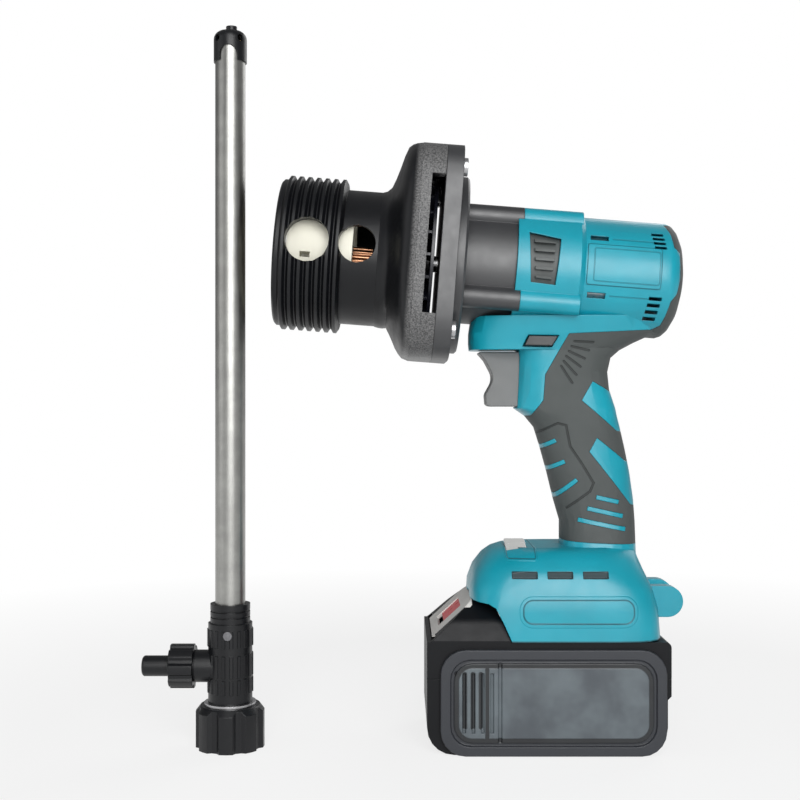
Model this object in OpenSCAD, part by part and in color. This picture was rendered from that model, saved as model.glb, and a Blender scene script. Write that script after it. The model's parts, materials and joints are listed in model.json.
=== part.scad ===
// Battery bucket pump: a cordless driver on its pack, and its pump tube unit upside down.
// Millimetres. +Z is up and the driver's nose points to -X.
// The origin is the middle of the pack's flat base.

/* [Battery pack] */
// Length of the pack, front to rear
pack_l = 113; // [106:1:124]
// Width of the pack over its side panels
pack_w = 75; // [73:0.5:84]
// Height of the pack's case, up to the foot of the housing
pack_h = 52; // [48:0.5:60]
// Wall of the pack's case
pack_wall = 2; // [1.6:0.1:2.4]
// Thickness of each framed side panel
panel_t = 3; // [2:0.1:3.4]
// Diameter of a cell
cell_d = 18.2; // [17.8:0.1:18.4]
// Length of a cell
cell_l = 64; // [60:0.5:64.5]
// Height of the split between the case halves
split_h = 35; // [30:0.5:40]
// Height that the latch slope reaches over the pack's case
slope_rise = 18; // [16:0.5:20]
// Travel of the release button
release_travel = 3; // [2:0.1:4]

/* [Handle and foot] */
// Height of the foot, from the pack up to the handle
foot_h = 43; // [38:0.5:50]
// Front to back depth of the handle
handle_d = 41; // [38:0.5:46]
// Width of the handle
handle_w = 33; // [31:0.5:38]
// Thickness of the soft overmould
grip_t = 1.6; // [1:0.1:2]
// Wall of the housing
shell_wall = 2.4; // [2:0.1:3]
// Travel of the trigger
trigger_travel = 6; // [4:0.5:7]
// Height of the motor axis over the ground, above the middle of the pack
axis_h = 226.5; // [218:0.5:236]

/* [Motor barrel] */
// Slope of the motor axis, nose up
barrel_tilt = 4.4; // [3:0.1:5.5]
// Radius of the motor can
can_r = 24.8; // [24:0.1:25.4]
// Wall of the barrel round the can
barrel_wall = 3; // [2.4:0.1:4]
// Distance along the axis from the pack's middle to the rear end
barrel_rear = 67.7; // [66:0.1:74]
// Radius of the motor shaft
shaft_r = 4; // [3:0.1:5]
// Outer radius of the three ball bearings
bearing_r = 11; // [10:0.1:12]
// Width of a ball bearing
bearing_w = 7; // [6:0.1:8]
// Diameter of the armature
armature_d = 42; // [38:0.5:43]

/* [Nose and drive housing] */
// Radius of the nose
nose_r = 28; // [27:0.1:29]
// Radius of the flange behind the bell
flange_r = 43; // [41:0.5:44]
// Half height of the bell
bell_r = 50.5; // [49.5:0.1:54]
// Half width of the bell
bell_half_w = 50; // [49:0.5:53]
// Radius of the neck
neck_r = 32.6; // [32:0.1:34]
// Radius over the collar's thread
collar_r = 37.4; // [36.6:0.1:38.4]
// Pitch of the collar's thread
thread_pitch = 4.2; // [4:0.05:4.4]
// Bore of the collar's mouth, as a radius
mouth_r = 33.4; // [32.4:0.1:34]
// Depth of the collar's mouth
mouth_depth = 5.2; // [4:0.1:5.4]
// Radius of the window through the thread
front_window_r = 10.3; // [8:0.1:10.6]
// Radius of the window through the neck
rear_window_r = 8.7; // [7:0.1:9]
// Radius of the cooling fan
fan_r = 41; // [38:0.5:42]
// Number of blades on the cooling fan
fan_blades = 24; // [16:1:28]

/* [Pump tube unit] */
// Length of the aluminium tube
tube_l = 275.5; // [200:0.5:320]
// Outer radius of the tube
tube_r = 7.1; // [6.6:0.1:7.6]
// Wall of the tube
tube_wall = 0.9; // [0.6:0.1:1.2]
// Radius of the discharge head's body
head_r = 10.4; // [10:0.1:11]
// Height of the discharge head's body
head_h = 37; // [36:0.5:42]
// Radius of the swivel nut's body
nut_r = 14.6; // [14.2:0.1:15.4]
// Height of the swivel nut
nut_h = 20; // [18:0.5:22]
// Number of lobes round the swivel nut
nut_lobes = 8; // [6:1:12]
// Radius of the outlet spigot
spigot_r = 4.85; // [4.4:0.05:5.2]
// Length of the outlet spigot that a hose covers
spigot_l = 13.3; // [10:0.1:18]
// Radius of the pump shaft
pump_shaft_r = 2; // [1.6:0.1:2.2]

/* [Hidden] */
NODES = [
    "left_shell", "right_shell", "left_grip", "right_grip", "left_vent_insert", "right_vent_insert",
    "shell_screws", "nose_housing", "nose_screws", "drive_housing", "rear_plate", "plate_screws",
    "coupling_seat", "motor_can", "magnets", "brush_holder", "carbon_brushes", "rear_bearing",
    "middle_bearing", "front_bearing", "switch_body", "control_board", "indicator_lens",
    "terminal_block", "motor_leads", "motor_shaft", "armature", "commutator", "cooling_fan",
    "drive_dog", "trigger", "trigger_spring", "direction_selector", "battery_lower_case",
    "battery_upper_case", "left_side_panel", "right_side_panel", "battery_cells", "battery_board",
    "battery_terminals", "battery_screws", "latch_bezel", "release_button", "latch_spring",
    "outer_tube", "foot_cap", "tee_body", "tee_screw", "outlet_nut", "hose_spigot", "outlet_seal",
    "retaining_ring", "swivel_nut", "shaft_seal", "upper_bush", "lower_bush", "pump_shaft",
    "impeller", "driven_dog"
];
node = "all";

// Overrun of every cut past the face that it opens
over = 1;
// Gap between pieces that are fixed to each other
seat_gap = 0.1;
// Radial gap of a shaft in its bearing, seal or bush
run_gap = 0.05;
// Gap of a piece that slides
slide_gap = 0.3;
// Gap of a piece that passes another with room to spare
free_gap = 0.6;
// Thickness of a loft's slices
slice_t = 0.02;
// Sides of a loft's slices
loft_sides = 24;
// Facets of a full turn on the housing's barrel
barrel_fn = 48;
// Facets of a full turn on the round pieces
round_fn = 72;
// Facets of a full turn on small round pieces
small_fn = 32;
// Facets of a full turn on the housing's holes and bosses
hole_fn = 16;
// Points on each rounded corner of an outline
corner_steps = 5;
// Length beyond anything in the driver, for halving and trimming
beyond = 3 * axis_h;

teal = [0.05, 0.58, 0.67];
dark_grey = [0.27, 0.27, 0.28];
black = [0.11, 0.11, 0.12];
steel = [0.72, 0.73, 0.75];
copper = [0.72, 0.42, 0.24];
cream = [0.92, 0.90, 0.78];
board_green = [0.10, 0.38, 0.22];
red = [0.86, 0.13, 0.16];
pale_grey = [0.78, 0.77, 0.74];
aluminium = [0.70, 0.71, 0.72];
brass = [0.80, 0.66, 0.34];

// Points of a rounded outline

function unit(v) = v / norm(v);

function turned(v, angle) = [v.x * cos(angle) - v.y * sin(angle), v.x * sin(angle) + v.y * cos(angle)];

function corner_arc(before, corner, after, r) =
    let (
        to_before = unit(before - corner),
        to_after = unit(after - corner),
        half = acos(to_before * to_after) / 2,
        centre = corner + unit(to_before + to_after) * r / sin(half),
        start = corner + to_before * r / tan(half) - centre,
        finish = corner + to_after * r / tan(half) - centre,
        sweep = (180 - 2 * half) * sign(cross(start, finish))
    )
    [for (i = [0 : corner_steps]) centre + turned(start, sweep * i / corner_steps)];

// Each corner is [x, y, radius], and a radius of 0 leaves it sharp.
function rounded(corners) =
    let (count = len(corners))
    [
        for (i = [0 : count - 1])
            let (
                before = corners[(i + count - 1) % count],
                corner = corners[i],
                after = corners[(i + 1) % count]
            )
            each corner[2] > 0
                ? corner_arc([before.x, before.y], [corner.x, corner.y], [after.x, after.y], corner[2])
                : [[corner.x, corner.y]]
    ];

function rounded_box(x0, y0, x1, y1, r) = rounded([[x0, y0, r], [x1, y0, r], [x1, y1, r], [x0, y1, r]]);

function scaled_points(shares, w, h) = [for (s = shares) [s.x * w, s.y * h]];

function signed_pow(v, p) = sign(v) * pow(abs(v), p);

// A closed curve between an ellipse (power 2) and a rectangle (a high power)
function super_curve(cx, cy, half_x, half_y, power, sides) = [
    for (i = [0 : sides - 1])
        let (a = 360 * (i + 0.5) / sides)
        [cx + half_x * signed_pow(cos(a), 2 / power), cy + half_y * signed_pow(sin(a), 2 / power)]
];

// Placing

module barrel_frame() {
    translate([0, 0, axis_h]) rotate([0, barrel_tilt, 0]) children();
}

// Turns what is drawn along Z so that it runs along the motor axis.
module along(u) {
    translate([u, 0, 0]) rotate([0, 90, 0]) children();
}

module rod(r, u0, u1, fn = round_fn) {
    along(u0) cylinder(r = r, h = u1 - u0, $fn = fn);
}

// Profile points are [radius, place along the axis].
module revolve(points, fn = round_fn) {
    rotate([0, 90, 0]) rotate_extrude($fn = fn) polygon(points);
}

// Extrudes an outline drawn across the axis, as [Y, height].
module prism(u0, u1) {
    translate([u0, 0, 0]) rotate([90, 0, 90]) linear_extrude(u1 - u0) children();
}

// Extrudes an outline drawn in the side view, as [X, Z].
module side_prism(y0, y1) {
    translate([0, y1, 0]) rotate([90, 0, 0]) linear_extrude(y1 - y0) children();
}

module block(low, high) {
    translate(low) cube(high - low);
}

module tube_ring(r_out, r_in, z0, z1, fn = round_fn) {
    difference() {
        translate([0, 0, z0]) cylinder(r = r_out, h = z1 - z0, $fn = fn);
        translate([0, 0, z0 - over]) cylinder(r = r_in, h = z1 - z0 + 2 * over, $fn = fn);
    }
}

// The far half (side 1) or the near half (side -1)
module half_of(side) {
    intersection() {
        children();
        translate([-beyond / 2, side > 0 ? 0 : -beyond, -beyond / 2]) cube([beyond, beyond, beyond]);
    }
}

// Housing: sizes

half_l = pack_l / 2;
foot_bottom = pack_h + slide_gap;
foot_top = pack_h + foot_h;
handle_rise = axis_h - foot_top;
can_gap = 0.2;
barrel_bore = can_r + can_gap;
barrel_r = barrel_bore + barrel_wall;
band_step = 2.4;
band_r = barrel_r + band_step;
band_rear = 17.8;
shell_front = -14.4;
pocket_front = 52;
bearing_seat_end = pocket_front + bearing_w + seat_gap;

// Handle stations, bottom to top: [height share of handle_rise, front share and back share of handle_d,
// half width share of handle_w, power]
handle_shares = [
    [-0.04, 0.225, 1.115, 0.58, 2.8],
    [0.078, 0.222, 1.108, 0.50, 2.6],
    [0.157, 0.148, 1.090, 0.485, 2.6],
    [0.257, 0.070, 1.045, 0.48, 2.6],
    [0.350, -0.012, 0.985, 0.48, 2.6],
    [0.424, -0.086, 0.930, 0.49, 2.6],
    [0.466, -0.196, 0.894, 0.495, 2.8],
    [0.494, -0.325, 0.872, 0.50, 3.2],
    [0.562, -0.312, 0.800, 0.50, 3.2],
    [0.628, -0.302, 0.778, 0.505, 3.2],
    [0.680, -0.298, 0.815, 0.52, 3.2],
    [0.714, -0.310, 0.940, 0.53, 3.2]
];
// The chin over the trigger and the web, in the same columns
chin_shares = [
    [0.7085, -0.860, 0.920, 0.53, 3.6],
    [0.735, -0.868, 1.080, 0.55, 3.6],
    [0.770, -0.868, 1.330, 0.60, 3.4],
    [0.830, -0.840, 1.400, 0.66, 3.2]
];
// Foot stations, bottom to top: [height share of foot_h, front share and rear share of half pack_l,
// half width share of pack_w, power]
foot_shares = [
    [0, -0.636, 0.956, 0.494, 6],
    [0.324, -0.636, 0.938, 0.49, 6],
    [0.546, -0.630, 0.900, 0.475, 5],
    [0.718, -0.588, 0.842, 0.440, 4.2],
    [0.850, -0.520, 0.805, 0.385, 3.6],
    [0.925, -0.455, 0.790, 0.320, 3.2],
    [0.970, -0.370, 0.785, 0.260, 3]
];

module slab(z, x0, x1, half_w, power) {
    translate([0, 0, z]) linear_extrude(slice_t)
        polygon(super_curve((x0 + x1) / 2, 0, (x1 - x0) / 2, half_w, power, loft_sides));
}

module station_loft(shares, z0, rise, depth, width, inset) {
    for (i = [0 : len(shares) - 2])
        hull()
            for (s = [shares[i], shares[i + 1]])
                slab(z0 + s[0] * rise, s[1] * depth + inset, s[2] * depth - inset, s[3] * width - inset, s[4]);
}

module handle_body(inset) {
    station_loft(handle_shares, foot_top, handle_rise, handle_d, handle_w, inset);
}

module chin_body(inset) {
    station_loft(chin_shares, foot_top, handle_rise, handle_d, handle_w, inset);
}

module foot_body(inset) {
    station_loft(foot_shares, foot_bottom, foot_h - slide_gap, half_l, pack_w, inset);
}

// Rounded rear end of the barrel: [radius share of barrel_r, distance share from the end]
dome_shares = [[1, 0.36], [0.965, 0.27], [0.885, 0.19], [0.715, 0.10], [0.45, 0.03], [0.2, 0.004], [0, 0]];

module barrel_body(inset) {
    barrel_frame() revolve(concat(
        [
            [0, shell_front], [band_r - inset, shell_front], [band_r - inset, band_rear - band_step - inset],
            [barrel_r - inset, band_rear - inset]
        ],
        [for (s = dome_shares) [s.x * (barrel_r - inset), barrel_rear - inset - s.y * barrel_r]]
    ), barrel_fn);
}

// The band's rails, which carry on the nose's bosses
rail_r = 5.4;
top_rail = [15, 23.1];
low_rail = [24.2, -16.4];
// Share of the band's step where its rails end
rail_end_share = 0.6;

module rails(u0, u1, r) {
    for (place = [top_rail, low_rail], side = [-1, 1])
        translate([0, side * place.x, place.y]) rod(r, u0, u1, hole_fn);
}

// Bare raised pad on each side of the barrel
pad_u = [18.6, 53.4];
pad_w = [-6.9, 12.5];
pad_rise = 0.5;

module barrel_pads() {
    barrel_frame() intersection() {
        rod(barrel_r + pad_rise, pad_u[0], pad_u[1], barrel_fn);
        block([pad_u[0] - over, -beyond, pad_w[0]], [pad_u[1] + over, beyond, pad_w[1]]);
    }
}

module housing_solid(inset) {
    barrel_body(inset);
    handle_body(inset);
    chin_body(inset);
    foot_body(inset);
    barrel_frame() rails(shell_front + over, band_rear - band_step * rail_end_share, rail_r - inset);
}

// Overmould in the side view. On the handle: [X share of handle_d, Z share of handle_rise]
grip_front_shares = [
    [0.200, 0.0125], [0.120, 0.081], [-0.020, 0.249], [-0.330, 0.461], [-0.150, 0.468], [-0.012, 0.524],
    [0.008, 0.617], [0.275, 0.7645], [0.840, 0.7725]
];
grip_back_shares = [[1.250, 0], [1.120, 0]];
// On the barrel's rear: [X share of barrel_rear, Z share of barrel_r from the axis]
bumper_shares = [
    [0.756, -1.033], [0.810, -0.968], [0.836, -0.807], [0.861, -0.582], [0.903, -0.468], [0.932, -0.225],
    [0.932, 0.247], [0.890, 0.326], [0.880, 0.554], [0.853, 0.764], [1.210, 0.764], [1.210, -1.329], [0.787, -1.402]
];
// Windows of the overmould for the housing's flush pads, in the handle's shares
pad_shares = [
    [[0.560, 0.5936], [0.770, 0.5581], [1.000, 0.5550], [1.060, 0.4053], [0.861, 0.4106], [0.429, 0.5232]],
    [[0.610, 0.3879], [0.951, 0.3043], [1.200, 0.2806], [1.200, 0.1247], [1.017, 0.1434], [0.520, 0.3367]]
];
// Raised stripes: [from, to] in the handle's shares
stripe_shares = [
    [[-0.120, 0.3383], [0.137, 0.3779]],
    [[-0.020, 0.2635], [0.241, 0.3012]],
    [[0.090, 0.1621], [0.380, 0.2351]],
    [[0.600, 0.1718], [0.868, 0.1537]],
    [[0.495, 0.1316], [0.917, 0.1026]],
    [[0.388, 0.0904], [0.944, 0.0555]]
];
stripe_w = 2.2;

function on_handle(shares) = [for (s = shares) [s.x * handle_d, foot_top + s.y * handle_rise]];

module grip_side_view() {
    polygon(concat(
        on_handle(grip_front_shares),
        [for (s = bumper_shares) [s.x * barrel_rear, axis_h + s.y * barrel_r]],
        on_handle(grip_back_shares)
    ));
}

module stripe_view(from, to, w) {
    run = unit(to - from);
    across = [-run.y, run.x] * w / 2;
    polygon([from + across, from - across, to - across, to + across]);
}

module pad_side_view(spare) {
    for (pad = pad_shares) offset(delta = spare) polygon(on_handle(pad));
    for (stripe = stripe_shares) {
        ends = on_handle(stripe);
        stripe_view(ends[0] - [spare, 0], ends[1] + [spare, 0], stripe_w + 2 * spare);
    }
}

module grip_region(spare) {
    difference() {
        side_prism(-beyond / 2, beyond / 2) offset(delta = spare) grip_side_view();
        side_prism(-beyond / 2, beyond / 2) pad_side_view(-spare);
    }
}

module grip_skin() {
    difference() {
        intersection() {
            union() {
                barrel_body(0);
                handle_body(0);
                chin_body(0);
            }
            grip_region(0);
        }
        housing_solid(grip_t);
        trigger_pocket();
    }
}

// Trigger and its pocket
trigger_w = 16;
trigger_h = 26.5;
trigger_d = 22;
trigger_front_share = -0.766;
pocket_back_share = 0.0976;
trigger_front = trigger_front_share * handle_d;
trigger_back = trigger_front + trigger_d;
pocket_back = pocket_back_share * handle_d;
chin_floor = foot_top + chin_shares[0][0] * handle_rise;
trigger_high = chin_floor - slide_gap - free_gap;
trigger_low = trigger_high - trigger_h;

module trigger_pocket() {
    block([trigger_back - trigger_d, -trigger_w / 2 - slide_gap, trigger_low - slide_gap],
        [pocket_back, trigger_w / 2 + slide_gap, chin_floor - slide_gap / 2]);
}

// Switch module
switch_size = [19, 20, 22];
switch_lift = 2.7;
switch_at = [pocket_back + slide_gap, -switch_size.y / 2, trigger_low + switch_lift];

// Rail block of the pack and its channel in the foot
rail_front = -0.3 * half_l;
rail_back = 0.726 * half_l;
rail_head_w = 22;
rail_stem_w = 18;
rail_step = 3.6;
rail_h = 7.6;

module rail_space(gap, x0, x1) {
    block([x0 - gap, -rail_stem_w - gap, pack_h - over], [x1 + gap, rail_stem_w + gap, pack_h + rail_h + gap]);
    block([x0 - gap, -rail_head_w - gap, pack_h + rail_step - gap],
        [x1 + gap, rail_head_w + gap, pack_h + rail_h + gap]);
}

// Latch slope in the side view, from the case's top front corner, as shares of slope_rise
slope_shares = [[0.08, 0], [0.16, 0.06], [1.19, 1.0], [1.58, 0.96], [1.76, 0.86], [1.95, 0.49], [2.17, 0]];

module slope_view(spare) {
    translate([-half_l, pack_h]) offset(delta = spare)
        polygon(scaled_points(slope_shares, slope_rise, slope_rise));
}

// Board in the foot
board_size = [44, 40, 1.6];
board_lift = 22;
foot_floor = 3.4;
foot_roof = 6;
board_at = [-board_size.x / 2, -board_size.y / 2, pack_h + board_lift];
foot_cavity_low = pack_h + rail_h + foot_floor;
foot_cavity_high = foot_top - foot_roof;

// Hook of the release button and the groove that it rises in, open to the front
hook_w = 14;
hook_x = -0.531 * half_l;
hook_t = 3;
hook_top = pack_h + slope_rise + over;

// Terminal block
terminal_size = [16, 30, 6];
terminal_inset = 17;
terminal_at = [rail_back - terminal_inset, -terminal_size.y / 2, pack_h + rail_h + slide_gap];

module housing_cavity() {
    inner = grip_t + shell_wall;
    barrel_frame() {
        rod(barrel_bore, shell_front - over, pocket_front, barrel_fn);
        rod(bearing_r + seat_gap, pocket_front - over, bearing_seat_end, barrel_fn);
    }
    intersection() {
        handle_body(inner);
        block([-beyond, -beyond, foot_cavity_high - over], [beyond, beyond, switch_at.z + switch_size.z + over]);
    }
    difference() {
        intersection() {
            foot_body(inner);
            block([-beyond, -beyond, foot_cavity_low], [beyond, beyond, foot_cavity_high]);
        }
        board_posts();
    }
    lead_channel();
}

// Four posts of the foot that carry the board
post_r = 3;

module board_posts() {
    for (x = [post_r, board_size.x - post_r], y = [post_r, board_size.y - post_r])
        translate([board_at.x + x, board_at.y + y, foot_cavity_low - over])
            cylinder(r = post_r, h = board_at.z - foot_cavity_low + over - seat_gap, $fn = hole_fn);
}

// Passage for the leads: up from the switch, then rearwards under the motor can
channel_w = 12;
channel_x = [2, 24];
duct_h = 7;
duct_drop = 5.4;
lead_r = 1.1;
lead_y = [-3, 3];
lead_x = 14;

module lead_channel() {
    block([channel_x[0], -channel_w / 2, switch_at.z + switch_size.z],
        [channel_x[1], channel_w / 2, axis_h - barrel_bore + 2 * over]);
    block([lead_x, -channel_w / 2, duct_high - duct_drop],
        [lead_end_u + 2 * lead_r, channel_w / 2, duct_high - duct_drop + duct_h]);
}

// Vents: the ribbed insert's window and the slots of the barrel and foot
insert_shares = [[-0.17, 0.28], [0.10, 0.24], [0.075, -0.155], [-0.135, -0.145]];
insert_ref = 55.5;

module insert_view(spare) {
    offset(delta = spare) polygon(scaled_points(insert_shares, insert_ref, insert_ref));
}

// Slots on the barrel's side: [place along the axis, height, length, width]
barrel_slots = [
    [24, 15.6, 8.6, 2.2], [24, -11.6, 8.6, 2.6],
    [51.5, 19.6, 5.6, 1.3], [52, 17.4, 5.6, 1.3], [52.4, 15.2, 5.6, 1.3], [52.8, 13.0, 5.6, 1.3],
    [51.8, -11.2, 6, 1.6], [51.4, -14.2, 6, 1.6], [51, -17.2, 6, 1.6], [50.6, -20.2, 6, 1.6]
];
foot_slot_shares = [-0.300, -0.009, 0.283];
foot_slot_l = 11.6;
foot_slot_h = 3;
foot_slot_z = foot_bottom + 0.672 * foot_h;
foot_slot_depth = 4;

module housing_vents() {
    barrel_frame() {
        side_prism(-beyond, beyond) insert_view(0);
        for (s = barrel_slots)
            block([s[0] - s[2] / 2, -beyond, s[1] - s[3] / 2], [s[0] + s[2] / 2, beyond, s[1] + s[3] / 2]);
    }
    for (share = foot_slot_shares, side = [-1, 1])
        translate([share * half_l, side * (pack_w - foot_slot_depth) / 2, foot_slot_z])
            block([0, -foot_slot_depth, 0], [foot_slot_l, foot_slot_depth, foot_slot_h]);
}

// Recessed panel on each side of the foot
recess_shares = [[-0.262, 0.150], [0.345, 0.135], [0.345, -0.165], [-0.262, -0.150]];
recess_at = [0.176 * half_l, foot_bottom + 0.332 * foot_h];
recess_size = [0.743 * pack_l, 36];
recess_corner = 4.4;
recess_depth = 1;

module foot_recess() {
    for (side = [-1, 1])
        translate([0, side * pack_w / 2, 0])
            side_prism(-recess_depth, recess_depth)
                translate(recess_at) polygon(rounded([
                    for (s = recess_shares) [s.x * recess_size.x, s.y * recess_size.y, recess_corner]
                ]));
}

// Direction selector
selector_shares = [[-0.45, 0.5], [0.55, 0.46], [0.34, -0.5], [-0.62, -0.44]];
selector_size = [14, 5.2];
selector_lift = 3.9;
selector_at = [-0.04 * handle_d, chin_floor + selector_lift];
selector_w_share = 1.257;
selector_half_w = handle_w * selector_w_share / 2;

module selector_view(spare) {
    translate(selector_at) offset(delta = spare)
        polygon(scaled_points(selector_shares, selector_size.x, selector_size.y));
}

// Lugs at the rear of the foot
lug_gap = 8;
lug_t = 7;
lug_r = 7.4;
lug_reach = 2.4;
lug_lift = 15.4;
lug_at = [half_l + lug_reach, foot_bottom + lug_lift];
lug_root = 0.77 * half_l;

module lugs() {
    for (y0 = [-lug_gap - lug_t, lug_gap])
        side_prism(y0, y0 + lug_t) {
            translate(lug_at) circle(r = lug_r, $fn = small_fn);
            translate([lug_root, lug_at.y - lug_r]) square([lug_at.x - lug_root, 2 * lug_r]);
        }
}

// Indicator window on the foot
lens_size = [10, 17, 1.6];
lens_drop = 2.1;
lens_at = [-0.237 * half_l, -lens_size.y / 2, foot_top - lens_drop];
lens_lean = 13;
lens_corner = 1;

module lens_place() {
    translate(lens_at) rotate([lens_lean, 0, 0]) children();
}

// Screws of the shells, at [X, Z]
shell_screw_places = [
    each on_handle([[-0.683, 0.764], [0.585, 0.395], [0.878, 0.068]]),
    [-0.42 * half_l, foot_bottom + 0.79 * foot_h], [0.825 * half_l, foot_bottom + 0.19 * foot_h]
];
shell_screw_r = 1.5;
shell_screw_head_r = 2.8;
shell_screw_head_h = 2;
shell_screw_sink = [11, 10, 9.4, 20, 26];

module shell_screw_holes() {
    for (i = [0 : len(shell_screw_places) - 1])
        translate([shell_screw_places[i].x, 0, shell_screw_places[i].y]) rotate([-90, 0, 0]) {
            translate([0, 0, -shell_screw_sink[i] / 2])
                cylinder(r = shell_screw_r + seat_gap, h = shell_screw_sink[i] * 1.5 + over, $fn = hole_fn);
            translate([0, 0, shell_screw_sink[i]])
                cylinder(r = shell_screw_head_r + seat_gap, h = beyond, $fn = hole_fn);
        }
}

module housing() {
    difference() {
        union() {
            difference() {
                housing_solid(0);
                grip_region(seat_gap);
            }
            housing_solid(grip_t + seat_gap);
            barrel_pads();
            lugs();
        }
        housing_cavity();
        housing_vents();
        foot_recess();
        trigger_pocket();
        side_prism(-beyond, beyond) selector_view(slide_gap);
        rail_space(slide_gap, -pack_l, rail_back);
        side_prism(-beyond, beyond) slope_view(slide_gap);
        block([-pack_l, -hook_w / 2 - free_gap, pack_h],
            [hook_x + hook_t + free_gap, hook_w / 2 + free_gap, hook_top + free_gap]);
        block(terminal_at - [seat_gap, seat_gap, over], terminal_at + terminal_size + [seat_gap, seat_gap, seat_gap]);
        lens_place() translate([-lens_size.x / 2 - seat_gap, -lens_size.y / 2 - seat_gap, -seat_gap])
            cube(lens_size + [2 * seat_gap, 2 * seat_gap, over]);
        shell_screw_holes();
        barrel_frame() {
            rod(nose_r + seat_gap, -beyond, shell_front + seat_gap, barrel_fn);
            rails(-beyond, shell_front + rail_r / 2, rail_r + seat_gap);
            rails(shell_front, nose_end + seat_gap, nose_screw_r + seat_gap);
        }
    }
}

module left_shell() {
    color(teal) half_of(1) housing();
}

module right_shell() {
    color(teal) half_of(-1) housing();
}

module left_grip() {
    color(dark_grey) half_of(1) grip_skin();
}

module right_grip() {
    color(dark_grey) half_of(-1) grip_skin();
}

// Vent inserts of the front band
insert_ribs = 5;
insert_rim = 2.2;
insert_rib_w = 1.5;
insert_pitch = 4.3;
insert_low = -6.4;
insert_base_r = barrel_bore + (band_r - barrel_bore) * 0.55;

module vent_insert(y0, y1) {
    color(black) barrel_frame() difference() {
        union() {
            intersection() {
                rod(insert_base_r, shell_front, band_rear);
                side_prism(y0, y1) insert_view(-seat_gap);
            }
            intersection() {
                rod(band_r - seat_gap, shell_front, band_rear);
                for (i = [0 : insert_ribs - 1])
                    block([shell_front, -beyond, insert_low + i * insert_pitch],
                        [band_rear, beyond, insert_low + i * insert_pitch + insert_rib_w]);
                side_prism(y0, y1) insert_view(-insert_rim);
            }
        }
        rod(barrel_bore + seat_gap, shell_front - over, band_rear + over);
    }
}

module left_vent_insert() {
    vent_insert(barrel_bore / 2, beyond);
}

module right_vent_insert() {
    vent_insert(-beyond, -barrel_bore / 2);
}

module shell_screws() {
    color(steel)
        for (i = [0 : len(shell_screw_places) - 1])
            translate([shell_screw_places[i].x, 0, shell_screw_places[i].y]) rotate([-90, 0, 0]) {
                translate([0, 0, -shell_screw_sink[i] / 2 + seat_gap])
                    cylinder(r = shell_screw_r, h = shell_screw_sink[i] * 1.5, $fn = small_fn);
                translate([0, 0, shell_screw_sink[i] + seat_gap])
                    cylinder(r = shell_screw_head_r, h = shell_screw_head_h, $fn = small_fn);
            }
}

// Drive housing: places along the motor axis
nose_face = -43;
plate_t = 8;
bell_depth = 11;
flare_l = 17.5;
neck_l = 17;
collar_l = 31.7;
bell_wall = 4.2;
bell_shift = 2.8;
bell_sides = 36;
seam = nose_face - plate_t;
bell_front = seam - bell_depth;
flare_front = bell_front - flare_l;
collar_rear = flare_front - neck_l;
collar_front = collar_rear - collar_l;
flange_t = 4.4;
flange_rear = nose_face + flange_t;

// Nose: bearing housing between the bell and the motor
nose_spigot_l = 9;
nose_end = shell_front + nose_spigot_l;
nose_chamber_r = 20;
flange_edge = 1;
middle_bearing_sink = 2;
middle_bearing_at = flange_rear + middle_bearing_sink;

// Screws of the nose, in its four bosses
nose_screw_r = 1.5;
nose_screw_head_r = 2.9;
nose_screw_head_h = 2.2;

module nose_screw_rods(spare) {
    rails(nose_face + nose_screw_head_h - spare, nose_end + spare, nose_screw_r + spare);
    rails(nose_face + (spare > 0 ? -over : seat_gap), nose_face + nose_screw_head_h + spare, nose_screw_head_r + spare);
}

module nose_housing() {
    color(black) barrel_frame() difference() {
        union() {
            revolve([
                [0, nose_face], [flange_r, nose_face], [flange_r, flange_rear - flange_edge], [flange_r - flange_edge, flange_rear],
                [nose_r, flange_rear], [nose_r, shell_front], [barrel_bore - seat_gap, shell_front],
                [barrel_bore - seat_gap, nose_end], [0, nose_end]
            ]);
            rails(flange_rear - over, shell_front + rail_r / 2 - seat_gap, rail_r);
        }
        rod(bearing_r + seat_gap, middle_bearing_at, middle_bearing_at + bearing_w + over);
        rod(shaft_r + free_gap, nose_face - over, nose_end + over, small_fn);
        rod(nose_chamber_r, middle_bearing_at + bearing_w, nose_end + over);
        nose_screw_rods(seat_gap);
    }
}

module nose_screws() {
    color(steel) barrel_frame() nose_screw_rods(0);
}

// Flare of the bell: [distance share of flare_l, centre share of bell_shift, growth share from neck to bell, power]
flare_shares = [
    [0.000, 0.00, 0.000, 2.0], [0.110, 0.04, 0.030, 2.0], [0.229, 0.35, 0.085, 2.1], [0.330, 1.15, 0.190, 2.3],
    [0.429, 1.50, 0.410, 2.6], [0.520, 1.85, 0.630, 3.0], [0.617, 1.85, 0.820, 3.6], [0.720, 1.50, 0.910, 4.3],
    [0.829, 1.15, 0.965, 5.0], [1.000, 1.00, 0.994, 5.5], [1.050, 1.00, 0.994, 5.5]
];
bell_power = 5.5;
// Least radius of the flare's first ring, which stands just proud of the neck
flare_start_r = (neck_r + seat_gap) / cos(180 / bell_sides);

function flare_ring(s) =
    let (half_y = flare_start_r + s[2] * (bell_half_w - flare_start_r), half_z = flare_start_r + s[2] * (bell_r - flare_start_r))
    [for (p = super_curve(0, s[1] * bell_shift, half_y, half_z, s[3], bell_sides)) [flare_front + s[0] * flare_l, p.x, p.y]];

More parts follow.
